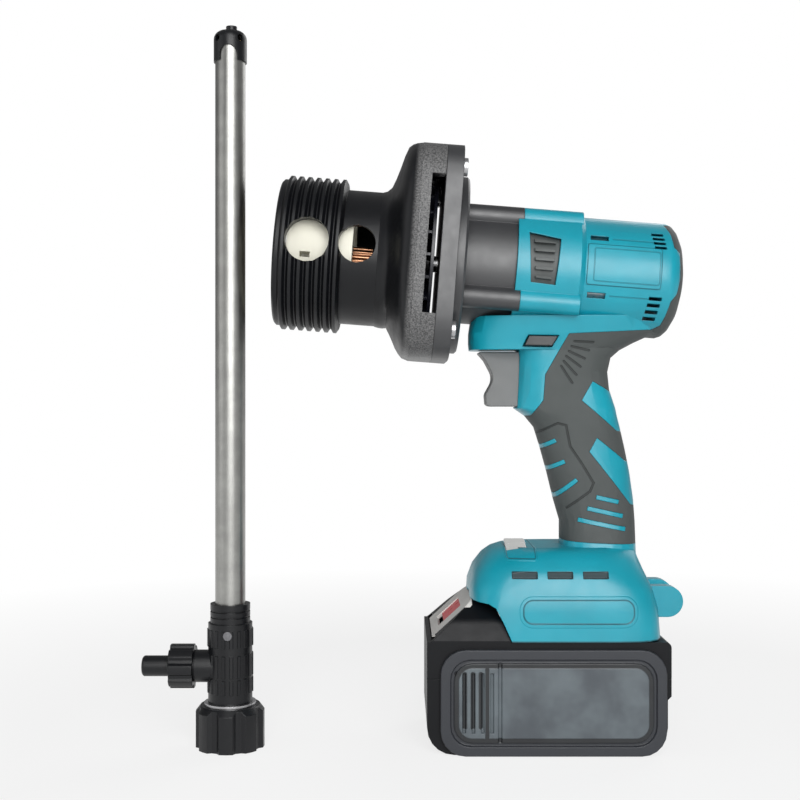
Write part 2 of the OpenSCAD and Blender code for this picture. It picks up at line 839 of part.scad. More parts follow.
// A closed body through rings of the same number of points
module ring_loft(rings) {
    count = len(rings[0]);
    last = (len(rings) - 1) * count;
    polyhedron(
        points = [for (ring = rings) each ring],
        faces = concat(
            [[for (i = [0 : count - 1]) i]],
            [
                for (k = [0 : len(rings) - 2], i = [0 : count - 1])
                    let (a = k * count + i, b = k * count + (i + 1) % count)
                    each [[a, a + count, b], [b, a + count, b + count]]
            ],
            [[for (i = [count - 1 : -1 : 0]) last + i]]
        )
    );
}

module flare() {
    ring_loft([for (s = flare_shares) flare_ring(s)]);
}

module bell_view(inset) {
    polygon(super_curve(0, bell_shift, bell_half_w - inset, bell_r - inset, bell_power, bell_sides));
}

// Collar with its thread as ridges round it
thread_depth = 1.9;
thread_crest_share = 0.16;
thread_flank_share = 0.28;
thread_ridges = floor((collar_l - thread_pitch / 2) / thread_pitch);

function ridge(u) = [
    [collar_r - thread_depth, u - (thread_crest_share + thread_flank_share) * thread_pitch],
    [collar_r, u - thread_crest_share * thread_pitch],
    [collar_r, u + thread_crest_share * thread_pitch],
    [collar_r - thread_depth, u + (thread_crest_share + thread_flank_share) * thread_pitch]
];

module collar() {
    revolve(concat(
        [[0, collar_front], [collar_r - 1.5 * thread_depth, collar_front],
            [collar_r - thread_depth, collar_front + thread_depth / 2]],
        [for (i = [1 : thread_ridges]) each ridge(collar_rear - (thread_ridges - i + 0.5) * thread_pitch)],
        [[neck_r, collar_rear], [neck_r, flare_front + over], [0, flare_front + over]]
    ));
}

// Inside of the collar and neck
seat_r = 28.8;
seat_l = 31;
seat_step = 1.2;
seat_step_at = 8.1;
seat_notch_u = [-116, -111.4];
seat_notch_w = [-4.4, -2];
seat_front = collar_front + mouth_depth + slide_gap;
seat_flat_r = 20;
front_window_at = [-112.6, 3.2];
rear_window_at = [-89.5, 3.3];
window_depth = 14;
front_bearing_at = flare_front + bearing_w / 3;
fan_gap = 2.4;
fan_front = bell_front - slide_gap;
fan_rear = seam - fan_gap;
slot_low = -27.4;
slot_high = 35.6;
slot_w = 6.2;
plate_screw_y = 37;
plate_screw_z_shares = [-0.663, 0.820];
plate_screw_r = 1.5;
plate_screw_head_r = 4.2;
plate_screw_head_h = 2;
plate_screw_l = 14;
plate_boss_r = 5;

module window(at, r) {
    translate([at.x, -window_depth, at.y]) rotate([90, 0, 0]) cylinder(r = r, h = beyond, $fn = round_fn);
}

module at_plate_screws() {
    for (side = [-1, 1], level = plate_screw_z_shares)
        translate([0, side * plate_screw_y, level * bell_r]) children();
}

// Room in front of the fan: [radius share of fan_r, distance share of flare_l from the bell]
throat_shares = [[0.878, 0.429], [1, 0.229], [1.061, 0]];
throat_share = 0.78;

module drive_housing() {
    bearing_end = front_bearing_at + bearing_w;
    color(black) barrel_frame() difference() {
        union() {
            flare();
            prism(bell_front, seam) bell_view(0);
            collar();
        }
        difference() {
            prism(bell_front - free_gap, seam + over) bell_view(bell_wall);
            at_plate_screws() rod(plate_boss_r, bell_front - over, seam + 2 * over, small_fn);
        }
        revolve(concat(
            [[0, bearing_end], [throat_share * fan_r, bearing_end]],
            [for (s = throat_shares) [s.x * fan_r, bell_front - s.y * flare_l]],
            [[0, bell_front]]
        ));
        rod(bearing_r + seat_gap, front_bearing_at, bearing_end + over);
        rod(shaft_r + free_gap, collar_front, seam, small_fn);
        rod(seat_r + seat_gap, collar_front - over, flare_front);
        rod(mouth_r, collar_front - over, collar_front + mouth_depth);
        window(front_window_at, front_window_r);
        window(rear_window_at, rear_window_r);
        for (side = [-1, 1])
            translate([0, side * bell_half_w, 0])
                block([seam - slot_w, -bell_wall * 2, slot_low], [seam + over, bell_wall * 2, slot_high]);
        at_plate_screws() rod(plate_screw_r + seat_gap, seam - plate_screw_l, seam + over, small_fn);
    }
}

module rear_plate() {
    color(black) barrel_frame() difference() {
        prism(seam + seat_gap, nose_face - seat_gap) bell_view(0);
        rod(shaft_r + 2 * free_gap, seam, nose_face, small_fn);
        at_plate_screws() rod(plate_screw_r + seat_gap, seam, nose_face, small_fn);
    }
}

module plate_screws() {
    color(steel) barrel_frame() at_plate_screws() {
        rod(plate_screw_r, seam - plate_screw_l + seat_gap, nose_face, small_fn);
        rod(plate_screw_head_r, nose_face, nose_face + plate_screw_head_h, small_fn);
    }
}

module coupling_seat() {
    color(cream) barrel_frame() difference() {
        rod(seat_r, seat_front, seat_front + seat_l);
        along(seat_front - over) rotate([0, 0, 22.5])
            cylinder(r = seat_flat_r / cos(22.5), h = seat_l + 2 * over, $fn = 8);
        for (side = [-1, 1])
            translate([seat_front + seat_l / 2, side * (seat_r + seat_flat_r) / 2, 0])
                block([-seat_l, (seat_r - seat_flat_r) / 2 - 2 * seat_step, seat_step_at], [seat_l, seat_r, seat_r]);
        block([seat_notch_u[0], -beyond, seat_notch_w[0]], [seat_notch_u[1], 0, seat_notch_w[1]]);
    }
}

// Motor
can_front = nose_end + seat_gap;
can_wall = 1.7;
can_l = 44;
magnet_gap = 0.1;
magnet_t = 1.4;
magnet_split = 7;
armature_inset = 5;
armature_front = can_front + armature_inset;
armature_l = 33;
armature_slots = 12;
slot_depth = 5;
armature_slot_w = 1.6;
winding_r_share = 0.82;
winding_l = 3;
commutator_r = 9.5;
commutator_at = armature_front + armature_l + winding_l + slide_gap;
commutator_l = 9;
holder_at = can_front + can_l + seat_gap;
holder_l = 6;
holder_gap = 2;
lead_end_u = holder_at + holder_l / 2;
duct_high = axis_h - lead_end_u * sin(barrel_tilt) - barrel_bore / cos(barrel_tilt);
brush_size = [4.4, 9, 5];
fit = 0.03;
shaft_rear = pocket_front + bearing_w - seat_gap;
shaft_reach = 15;
shaft_front = flare_front - shaft_reach;
shaft_edge = 0.5;

module motor_can() {
    color(steel) barrel_frame() difference() {
        rod(can_r, can_front, can_front + can_l);
        rod(can_r - can_wall, can_front + can_wall, can_front + can_l + over);
        rod(bearing_r, can_front - over, can_front + can_l);
    }
}

module magnets() {
    outer = can_r - can_wall - magnet_gap;
    color(dark_grey) barrel_frame() difference() {
        rod(outer, can_front + 2 * can_wall, can_front + can_l - can_wall);
        rod(outer - magnet_t, can_front, can_front + can_l);
        block([can_front, -beyond, -magnet_split], [can_front + can_l, beyond, magnet_split]);
    }
}

module brush_holder() {
    color(black) barrel_frame() difference() {
        rod(can_r, holder_at, holder_at + holder_l);
        rod(commutator_r + holder_gap, holder_at - over, holder_at + holder_l + over);
        block([holder_at + (holder_l - brush_size.x) / 2 - seat_gap, -can_r + holder_gap, -brush_size.z / 2 - seat_gap],
            [holder_at + (holder_l + brush_size.x) / 2 + seat_gap, can_r - holder_gap, brush_size.z / 2 + seat_gap]);
    }
}

module carbon_brushes() {
    color(dark_grey) barrel_frame()
        for (side = [-1, 1])
            translate([holder_at + (holder_l - brush_size.x) / 2,
                side * (commutator_r + seat_gap + brush_size.y / 2) - brush_size.y / 2, -brush_size.z / 2])
                cube(brush_size);
}

// A ball bearing as one ring with the recess of its shields
shield_sink = 0.5;

module bearing(u) {
    bore = shaft_r + run_gap;
    step = (bearing_r - bore) / 4;
    color(steel) barrel_frame() revolve([
        [bore, u], [bore + step, u], [bore + step, u + shield_sink], [bearing_r - step, u + shield_sink],
        [bearing_r - step, u], [bearing_r, u], [bearing_r, u + bearing_w], [bearing_r - step, u + bearing_w],
        [bearing_r - step, u + bearing_w - shield_sink], [bore + step, u + bearing_w - shield_sink],
        [bore + step, u + bearing_w], [bore, u + bearing_w]
    ]);
}

module rear_bearing() {
    bearing(pocket_front + seat_gap / 2);
}

module middle_bearing() {
    bearing(middle_bearing_at + seat_gap / 2);
}

module front_bearing() {
    bearing(front_bearing_at + seat_gap / 2);
}

module motor_shaft() {
    color(steel) barrel_frame() revolve([
        [0, shaft_front], [shaft_r - shaft_edge, shaft_front], [shaft_r, shaft_front + shaft_edge], [shaft_r, shaft_rear],
        [0, shaft_rear]
    ]);
}

module armature() {
    r = armature_d / 2;
    color(steel) barrel_frame() difference() {
        union() {
            difference() {
                rod(r, armature_front, armature_front + armature_l);
                for (i = [0 : armature_slots - 1])
                    rotate([i * 360 / armature_slots, 0, 0])
                        block([armature_front - over, -armature_slot_w / 2, r - slot_depth],
                            [armature_front + armature_l + over, armature_slot_w / 2, r + over]);
            }
            rod(r * winding_r_share - slot_depth / 2, armature_front - winding_l, armature_front + armature_l + winding_l);
        }
        rod(shaft_r + fit, armature_front - 2 * winding_l, armature_front + armature_l + 2 * winding_l);
    }
}

module commutator() {
    color(copper) barrel_frame() difference() {
        rod(commutator_r, commutator_at, commutator_at + commutator_l);
        rod(shaft_r + fit, commutator_at - over, commutator_at + commutator_l + over);
    }
}

// Cooling fan inside the bell
fan_hub_r = 9;
fan_disc_t = 1.6;
blade_t = 1.4;
blade_inner_r = 20;

module cooling_fan() {
    color([0.55, 0.56, 0.58]) barrel_frame() difference() {
        union() {
            rod(fan_r, fan_rear - fan_disc_t, fan_rear);
            rod(fan_hub_r, fan_front, fan_rear);
            for (i = [0 : fan_blades - 1])
                rotate([i * 360 / fan_blades, 0, 0])
                    block([fan_front, -blade_t / 2, blade_inner_r], [fan_rear - fan_disc_t / 2, blade_t / 2, fan_r - blade_t / 2]);
        }
        rod(shaft_r + fit, fan_front - over, fan_rear + over);
    }
}

// Toothed drive dog that the pump unit's coupling slides over
dog_r = 5.6;
dog_tooth = 0.7;
dog_teeth = 12;
dog_l = 14;
dog_overhang = 2;

module drive_dog() {
    front = shaft_front - dog_overhang;
    color(copper) barrel_frame() difference() {
        prism(front, front + dog_l) polygon(toothed(dog_r - dog_tooth, dog_r, dog_teeth, tooth_top_share));
        rod(shaft_r + fit, front - over, front + dog_l + over);
    }
}

// Trigger: corners as [depth share, height share] from its lower front
trigger_shares = [
    [0.19, 0.03, 1.2], [0.17, 0.22, 4], [0.37, 0.52, 7], [0.16, 0.85, 4], [0.00, 1.00, 0.5], [1.00, 1.00, 0.6],
    [1.00, 0.00, 0.6], [0.26, 0.00, 1.6]
];
stem_r = 2.5;
stem_lift = 14.2;
stem_z = trigger_low + stem_lift;
stem_reach = 2.2;
stem_hole = trigger_travel + stem_reach + over;

module trigger() {
    color(dark_grey) {
        side_prism(-trigger_w / 2, trigger_w / 2) translate([trigger_front, trigger_low])
            polygon(rounded([for (s = trigger_shares) [s.x * trigger_d, s.y * trigger_h, s[2]]]));
        translate([trigger_back - over, 0, stem_z]) rotate([0, 90, 0])
            cylinder(r = stem_r, h = switch_at.x + stem_reach - trigger_back + over, $fn = small_fn);
    }
}

module trigger_spring() {
    color(steel) translate([trigger_back + seat_gap, 0, stem_z]) rotate([0, 90, 0])
        tube_ring(stem_r + free_gap + spring_wire, stem_r + free_gap, 0, switch_at.x - trigger_back - 2 * seat_gap, small_fn);
}

module direction_selector() {
    color(black) side_prism(-selector_half_w, selector_half_w) selector_view(0);
}

module switch_body() {
    color(black) difference() {
        block(switch_at, switch_at + switch_size);
        translate([switch_at.x - over, 0, stem_z]) rotate([0, 90, 0])
            cylinder(r = stem_r + slide_gap, h = stem_hole + over, $fn = small_fn);
    }
}

// Board in the foot, on four posts
chip_shares = [[0.12, 0.2, 0.2, 0.3, 2.5], [0.45, 0.15, 0.3, 0.35, 1.6], [0.5, 0.6, 0.2, 0.25, 4]];

module control_board() {
    color(board_green) {
        block(board_at, board_at + board_size);
        for (c = chip_shares)
            translate(board_at + [c[0] * board_size.x, c[1] * board_size.y, board_size.z])
                cube([c[2] * board_size.x, c[3] * board_size.y, c[4]]);
    }
}

module indicator_lens() {
    color([0.86, 0.86, 0.84]) lens_place()
        linear_extrude(lens_size.z)
            polygon(rounded_box(-lens_size.x / 2, -lens_size.y / 2, lens_size.x / 2, lens_size.y / 2, lens_corner));
}

// Contact blades hang from the block into the rail channel
blade_y = [-10, 0, 10];
contact_t = 1;
contact_l = 12;
contact_x = [terminal_at.x + 2 * over, terminal_at.x + 2 * over + contact_l];
contact_low = pack_h + rail_step + free_gap;

module terminal_block() {
    color(black) block(terminal_at, terminal_at + terminal_size);
    color(brass)
        for (y = blade_y)
            block([contact_x[0], y - contact_t / 2, contact_low], [contact_x[1], y + contact_t / 2, terminal_at.z + over]);
}

// Motor leads, from the switch to the brush holder
module motor_leads() {
    low = switch_at.z + switch_size.z + seat_gap;
    run_z = duct_high - duct_drop + duct_h / 2 - lead_r;
    color(red)
        for (y = lead_y)
            translate([0, y, 0]) {
                translate([lead_x, 0, low]) cylinder(r = lead_r, h = run_z - low, $fn = small_fn);
                translate([lead_x, 0, run_z]) sphere(r = lead_r, $fn = small_fn);
                translate([lead_x, 0, run_z]) rotate([0, 90, 0]) cylinder(r = lead_r, h = lead_end_u - lead_x, $fn = small_fn);
                translate([lead_end_u, 0, run_z]) sphere(r = lead_r, $fn = small_fn);
                translate([lead_end_u, 0, run_z])
                    cylinder(r = lead_r, h = duct_high - run_z - seat_gap, $fn = small_fn);
            }
}

// Battery pack
case_half_w = pack_w / 2 - panel_t;
case_corner = 12.5;
case_top_corner = 2.5;
case_step = 1.7;
case_step_z = 27;
cell_gap = 0.5;
cell_pitch = cell_d + cell_gap;
cell_low = pack_wall + slide_gap + cell_d / 2;
cells_top = cell_low + cell_pitch + cell_d / 2;
boss_r = 3.4;
boss_x = half_l - pack_wall - boss_r - seat_gap;
boss_y = 26;
case_screw_r = 1.4;
case_screw_head_r = 2.5;
case_screw_head_h = 1.4;
case_screw_sink = 9;
case_screw_l = 36;

module case_view(inset) {
    half = half_l - inset;
    polygon(rounded([
        [-half, inset, case_corner - inset], [half - case_step, inset, case_corner - inset],
        [half - case_step, case_step_z - case_step, 0], [half, case_step_z, 0],
        [half, pack_h - inset, case_top_corner], [-half, pack_h - inset, case_top_corner]
    ]));
}

module case_bosses(r) {
    for (x = [-boss_x, boss_x], y = [-boss_y, boss_y])
        translate([x, y, 0]) cylinder(r = r, h = pack_h - pack_wall, $fn = small_fn);
}

module case_solid() {
    side_prism(-case_half_w, case_half_w) case_view(0);
}

module case_cavity() {
    difference() {
        side_prism(-case_half_w + pack_wall, case_half_w - pack_wall) case_view(pack_wall);
        case_bosses(boss_r);
    }
}

module case_screw_holes() {
    for (x = [-boss_x, boss_x], y = [-boss_y, boss_y])
        translate([x, y, 0]) {
            translate([0, 0, -over]) cylinder(r = case_screw_r + seat_gap, h = case_screw_sink + case_screw_l, $fn = small_fn);
            translate([0, 0, -over]) cylinder(r = case_screw_head_r + seat_gap, h = case_screw_sink + over, $fn = small_fn);
        }
}

module battery_lower_case() {
    color(black) difference() {
        intersection() {
            case_solid();
            block([-pack_l, -pack_w, -over], [pack_l, pack_w, split_h - seat_gap / 2]);
        }
        case_cavity();
        case_screw_holes();
    }
}

// Bezel and button on the latch slope
bezel_t = 1.8;
bezel_half_w = 25;
bezel_lift = 0.8;
bezel_low = pack_h + bezel_lift;
slope_low = [-half_l + slope_shares[1].x * slope_rise, pack_h + slope_shares[1].y * slope_rise];
slope_high = [-half_l + slope_shares[2].x * slope_rise, pack_h + slope_shares[2].y * slope_rise];
bezel_back = slope_high.x;
slope_mid = (slope_low + slope_high) / 2;
slope_angle = atan2(slope_high.y - slope_low.y, slope_high.x - slope_low.x);
button_half_w = 12;
button_run = 11;
// Shoulders of the slope: [inset share, height share, radius share] of slope_rise
shoulder_shares = [[0, 0.04, 0.05], [0.18, 0.52, 0.40], [0.74, 1, 0.28]];
slope_run_share = 2.08;

module slope_frame() {
    translate([slope_mid.x, 0, slope_mid.y]) rotate([0, -slope_angle, 0]) children();
}

function shoulder(side, inset) = [
    for (s = shoulder_shares)
        [side * (case_half_w - inset - s[0] * slope_rise), pack_h + s[1] * slope_rise - inset, s[2] * slope_rise]
];

module slope_solid(inset) {
    right = shoulder(1, inset);
    left = shoulder(-1, inset);
    intersection() {
        side_prism(-case_half_w + inset, case_half_w - inset) {
            slope_view(-inset);
            translate([-half_l + inset, pack_h - 2 * over])
                square([slope_rise * slope_run_share - 2 * inset, 2 * over + inset]);
        }
        prism(-pack_l, 0) polygon(rounded(concat(
            [[-case_half_w + inset, -over, 0], [case_half_w - inset, -over, 0]],
            right, [left[2], left[1], left[0]]
        )));
    }
}

module bezel_region(spare) {
    side_prism(-bezel_half_w - spare, bezel_half_w + spare) intersection() {
        difference() {
            slope_view(over);
            translate([0, -bezel_t / cos(slope_angle) - spare]) slope_view(0);
        }
        translate([-pack_l, bezel_low - spare]) square([pack_l + bezel_back + spare, pack_l]);
    }
}

module button_window(spare) {
    slope_frame() block([-button_run / 2 - spare, -button_half_w - spare, -slope_rise],
        [button_run / 2 + spare, button_half_w + spare, slope_rise]);
}

module rails_solid() {
    rail_space(0, rail_front, rail_back);
}

// Slots in the rail block for the contact blades, open to the rear
blade_slot_w = 3.2;
blade_slot_x = terminal_at.x - over;

module blade_slots() {
    for (y = blade_y)
        block([blade_slot_x, y - blade_slot_w / 2, pack_h - 2 * pack_wall], [rail_back + over, y + blade_slot_w / 2, pack_h + rail_h + over]);
}

module battery_upper_case() {
    color(black) difference() {
        union() {
            intersection() {
                case_solid();
                block([-pack_l, -pack_w, split_h + seat_gap / 2], [pack_l, pack_w, pack_h + over]);
            }
            slope_solid(0);
            rails_solid();
        }
        case_cavity();
        intersection() {
            slope_solid(pack_wall);
            block([-pack_l, -pack_w, pack_h - 2 * over], [pack_l, pack_w, pack_h + pack_l]);
        }
        case_screw_holes();
        bezel_region(seat_gap);
        button_window(slide_gap);
        slope_frame() block([-button_run / 2 - release_travel, -button_half_w - slide_gap, -slope_rise],
            [0, button_half_w + slide_gap, bezel_t]);
        block([hook_x - slide_gap, -hook_w / 2 - slide_gap, pack_h], [hook_x + hook_t + slide_gap, hook_w / 2 + slide_gap, hook_top + over]);
        blade_slots();
    }
}

module latch_bezel() {
    color(pale_grey) difference() {
        intersection() {
            bezel_region(0);
            slope_solid(0);
        }
        button_window(slide_gap);
        slope_frame() block([-button_run / 2 - release_travel, -button_half_w - slide_gap, -bezel_t * 3],
            [0, button_half_w + slide_gap, bezel_t * 3]);
    }
}

arm_lift = 4;
arm_low = pack_h + arm_lift;
arm_t = 3;
arm_reach = 2;
spring_inset = 4;
spring_foot = 2.4;
button_sink = 0.6;

module release_button() {
    color(red) {
        intersection() {
            button_window(0);
            side_prism(-button_half_w, button_half_w) slope_view(-button_sink);
            block([-pack_l, -button_half_w, arm_low], [0, button_half_w, pack_l]);
        }
        block([slope_mid.x - arm_reach, -hook_w / 2, arm_low], [hook_x + hook_t, hook_w / 2, arm_low + arm_t]);
        block([hook_x, -hook_w / 2, arm_low], [hook_x + hook_t, hook_w / 2, hook_top]);
    }
}

spring_r = 3;
spring_wire = 0.8;

module latch_spring() {
    color(steel) translate([slope_mid.x + spring_inset, 0, 0])
        tube_ring(spring_r, spring_r - spring_wire, cells_top + spring_foot, arm_low - seat_gap, small_fn);
}

// Framed side panels
panel_front = 6.2;
panel_rear = 2.6;
panel_top_gap = 3;
panel_corner = 11.5;
frame_w = 4.6;
groove_w = 1.6;
groove_depth = 1.2;
rib_first = 10.1;
rib_pitch = 4.3;
rib_count = 4;
rib_groove_w = 1.4;
rib_end_gap = 4.6;
divider_at = 26.6;

module panel_view(inset) {
    polygon(rounded_box(-half_l + panel_front + inset, inset, half_l - panel_rear - inset,
        pack_h - panel_top_gap - inset, panel_corner - inset / 2));
}

module side_panel(side) {
    outer_y = pack_w / 2;
    x0 = -half_l + panel_front;
    color(black) difference() {
        side_prism(side > 0 ? case_half_w + seat_gap : -outer_y, side > 0 ? outer_y : -case_half_w - seat_gap) panel_view(0);
        translate([0, side * outer_y, 0]) side_prism(-groove_depth, groove_depth) {
            difference() {
                panel_view(frame_w);
                panel_view(frame_w + groove_w);
            }
            for (i = [0 : rib_count - 1])
                translate([x0 + rib_first + i * rib_pitch, frame_w + groove_w + rib_end_gap])
                    square([rib_groove_w, pack_h - panel_top_gap - 2 * (frame_w + groove_w + rib_end_gap)]);
            translate([x0 + divider_at, frame_w])
                square([groove_w, pack_h - panel_top_gap - 2 * frame_w]);
        }
    }
}

module left_side_panel() {
    side_panel(1);
}

module right_side_panel() {
    side_panel(-1);
}

cells_long = 5;
cells_high = 2;

module battery_cells() {
    color([0.18, 0.42, 0.66])
        for (i = [0 : cells_long - 1], j = [0 : cells_high - 1])
            translate([(i - (cells_long - 1) / 2) * cell_pitch, cell_l / 2, cell_low + j * cell_pitch])
                rotate([90, 0, 0]) cylinder(r = cell_d / 2, h = cell_l, $fn = small_fn);
}

pack_board = [92, 48, 1.6];

module battery_board() {
    color(board_green) translate([-pack_board.x / 2, -pack_board.y / 2, cells_top + slide_gap]) cube(pack_board);
}

clip_t = 0.6;
clip_gap = 0.3;
clip_l = 11;
clip_x = [terminal_at.x + over, terminal_at.x + over + clip_l];
clip_base = pack_h - pack_wall + seat_gap;
clip_top = pack_h + rail_h - over;

module battery_terminals() {
    half = contact_t / 2 + clip_gap;
    color(brass)
        for (y = blade_y) {
            for (side = [-1, 1])
                translate([0, y + side * (half + clip_t / 2), 0])
                    block([clip_x[0], -clip_t / 2, clip_base], [clip_x[1], clip_t / 2, clip_top]);
            block([clip_x[0], y - half - clip_t, cells_top + pack_board.z + 2 * slide_gap],
                [clip_x[1], y + half + clip_t, clip_base + over]);
        }
}

module battery_screws() {
    color(steel)
        for (x = [-boss_x, boss_x], y = [-boss_y, boss_y])
            translate([x, y, case_screw_sink - case_screw_head_h - seat_gap]) {
                cylinder(r = case_screw_head_r, h = case_screw_head_h, $fn = small_fn);
                cylinder(r = case_screw_r, h = case_screw_l, $fn = small_fn);
            }
}

// Pump tube unit: it stands upside down on its nut
unit_at = [-149.5, -19, 0];
head_gap = 1.7;
head_low = nut_h + head_gap;
head_top = head_low + head_h;
socket_l = 3;
head_neck_h = 9;
head_neck_wall = 2.3;
head_neck_r = tube_r + head_neck_wall;
head_flange_r = 12.9;
head_flange = [9.2, 12.4];
head_bore = 5.4;
dog_bore = 7.4;
nut_bore = 13.2;
nut_thread_l = 9;
nut_shoulder = 12.8;
tube_low = head_top - socket_l;
tube_high = tube_low + tube_l;
branch_z = 37.9;
branch_r = 7.6;
branch_end = 16.3;
nipple_r = 7.1;
nipple_end = 22;
branch_bore = 3.6;
seal_t = 1.2;
spigot_flange_r = 7;
spigot_flange = [23.4, 25.4];
outlet_nut_x = [16.8, 28.2];
outlet_nut_r = 9.1;
outlet_lobe = 1.3;
outlet_lobes = 8;
spigot_end = outlet_nut_x[1] + spigot_l;
spigot_bore = 3.4;
spigot_neck_r = 5.6;

module unit() {
    translate(unit_at) children();
}

// What is drawn along Z from the unit's axis comes to lie along -X at the branch's height.
module branch_frame() {
    translate([0, 0, branch_z]) rotate([0, -90, 0]) children();
}

// Outline of a ribbed or lobed grip: count teeth of the given share of the pitch
tooth_flank_share = 0.14;
tooth_top_share = 0.36;
lobe_top_share = 0.5;

function toothed(r_root, r_tip, count, top_share) = [
    for (i = [0 : count - 1])
        let (pitch = 360 / count, a = i * pitch, tip = top_share * pitch / 2, foot = tip + tooth_flank_share * pitch)
        each [
            r_root * [cos(a - pitch / 2), sin(a - pitch / 2)],
            r_root * [cos(a - foot), sin(a - foot)],
            r_tip * [cos(a - tip), sin(a - tip)],
            r_tip * [cos(a), sin(a)],
            r_tip * [cos(a + tip), sin(a + tip)],
            r_root * [cos(a + foot), sin(a + foot)]
        ]
];

rib_rows = [[4.4, 11.1], [12.2, 22.5], [26.2, 34.1]];
rib_depth = 0.5;
ribs_round = 18;
ring_groove_depth = 0.7;
ring_places = [2.6, 5.4];
ring_groove_w = 0.8;

// Screw in the head's near side
tee_screw_r = 2.1;
tee_screw_head_h = 1.3;
tee_screw_sink = 0.2;
tee_screw_l = 3.4;
tee_screw_drop = 5;
tee_screw_z = head_top - tee_screw_drop;
hex_share = 0.5;

module tee_body() {
    color(black) unit() difference() {
        union() {
            rotate_extrude($fn = round_fn) polygon(concat(
                [
                    [0, head_flange[0]], [head_flange_r, head_flange[0]], [head_flange_r, head_flange[1]],
                    [head_r, head_flange[1]], [head_r, head_top], [head_neck_r, head_top]
                ],
                [
                    for (z = ring_places)
                        each [
                            [head_neck_r, head_top + z], [head_neck_r - ring_groove_depth, head_top + z],
                            [head_neck_r - ring_groove_depth, head_top + z + ring_groove_w],
                            [head_neck_r, head_top + z + ring_groove_w]
                        ]
                ],
                [[head_neck_r, head_top + head_neck_h], [0, head_top + head_neck_h]]
            ));
            for (row = rib_rows)
                translate([0, 0, head_low + row[0]]) linear_extrude(row[1] - row[0])
                    polygon(toothed(head_r - rib_depth, head_r + rib_depth, ribs_round, tooth_top_share));
            branch_frame() {
                cylinder(r = branch_r, h = branch_end, $fn = round_fn);
                cylinder(r = nipple_r, h = nipple_end, $fn = round_fn);
            }
        }
        translate([0, 0, tube_low]) cylinder(r = tube_r + seat_gap, h = beyond, $fn = round_fn);
        translate([0, 0, head_flange[0] - over]) cylinder(r = head_bore, h = beyond, $fn = round_fn);
        translate([0, 0, head_flange[0] - over]) cylinder(r = dog_bore, h = head_flange[1] - head_flange[0] + 2 * over, $fn = round_fn);
        branch_frame() cylinder(r = branch_bore, h = nipple_end + over, $fn = round_fn);
        translate([0, -head_r - over, tee_screw_z]) rotate([-90, 0, 0]) {
            cylinder(r = tee_screw_r + seat_gap, h = tee_screw_sink + tee_screw_head_h + seat_gap + over, $fn = small_fn);
            cylinder(r = tee_screw_r / 2 + seat_gap, h = head_r - head_bore, $fn = small_fn);
        }
    }
}

module tee_screw() {
    color(dark_grey) unit() translate([0, -head_r + tee_screw_sink, tee_screw_z]) rotate([-90, 0, 0]) {
        difference() {
            cylinder(r = tee_screw_r, h = tee_screw_head_h, $fn = small_fn);
            translate([0, 0, -over]) cylinder(r = tee_screw_r * hex_share, h = over + tee_screw_head_h / 2, $fn = 6);
        }
        cylinder(r = tee_screw_r / 2 - seat_gap, h = tee_screw_l, $fn = small_fn);
    }
}

module outer_tube() {
    color(aluminium) unit() tube_ring(tube_r, tube_r - tube_wall, tube_low + seat_gap, tube_high);
}

// Foot cap on the suction end
cap_wall = 0.7;
cap_skirt = 7.3;
cap_room = 5.4;
cap_dome = 7.8;
cap_round = 4;
cap_edge = 1;
cap_top_share = 0.35;
cap_r = tube_r + cap_wall;
cap_low = tube_high - cap_skirt;
arch_r = 4.2;
arch_sides = 2.6;
nib_r = 2.6;
nib_h = 2;
nib_offset = 0.6;
inlet_at_share = 0.6;
inlet_r = 1.6;

module foot_cap() {
    color(black) unit() difference() {
        union() {
            rotate_extrude($fn = round_fn) polygon(rounded([
                [0, cap_low, 0], [cap_r, cap_low, 0], [cap_r, tube_high + cap_dome - cap_edge, cap_round],
                [cap_r * cap_top_share, tube_high + cap_dome, 0], [0, tube_high + cap_dome, 0]
            ]));
            translate([nib_offset, 0, tube_high + cap_dome - over]) cylinder(r = nib_r, h = nib_h + over, $fn = small_fn);
        }
        translate([0, 0, cap_low - over]) cylinder(r = tube_r + seat_gap, h = cap_skirt + over + seat_gap, $fn = round_fn);
        translate([0, 0, tube_high]) cylinder(r = tube_r - tube_wall, h = cap_room, $fn = round_fn);
        translate([0, 0, cap_low + arch_sides]) rotate([90, 0, 0]) cylinder(r = arch_r, h = beyond, center = true, $fn = round_fn);
        block([-arch_r, -beyond / 2, cap_low - over], [arch_r, beyond / 2, cap_low + arch_sides]);
        for (a = [45, 135])
            translate([0, 0, tube_high + cap_room * inlet_at_share]) rotate([0, 90, a])
                cylinder(r = inlet_r, h = 4 * cap_r, center = true, $fn = small_fn);
    }
}

module outlet_seal() {
    color(dark_grey) unit() branch_frame()
        tube_ring(nipple_r - seat_gap, branch_bore + seat_gap, nipple_end + seat_gap, nipple_end + seat_gap + seal_t, small_fn);
}

module hose_spigot() {
    chamfer = 0.8;
    color(black) unit() branch_frame() rotate_extrude($fn = round_fn) polygon([
        [spigot_bore, spigot_flange[0]], [spigot_flange_r, spigot_flange[0]], [spigot_flange_r, spigot_flange[1]],
        [spigot_neck_r, spigot_flange[1]], [spigot_neck_r, outlet_nut_x[1] + free_gap],
        [spigot_r, outlet_nut_x[1] + free_gap], [spigot_r, spigot_end - chamfer], [spigot_r - chamfer, spigot_end],
        [spigot_bore, spigot_end]
    ]);
}

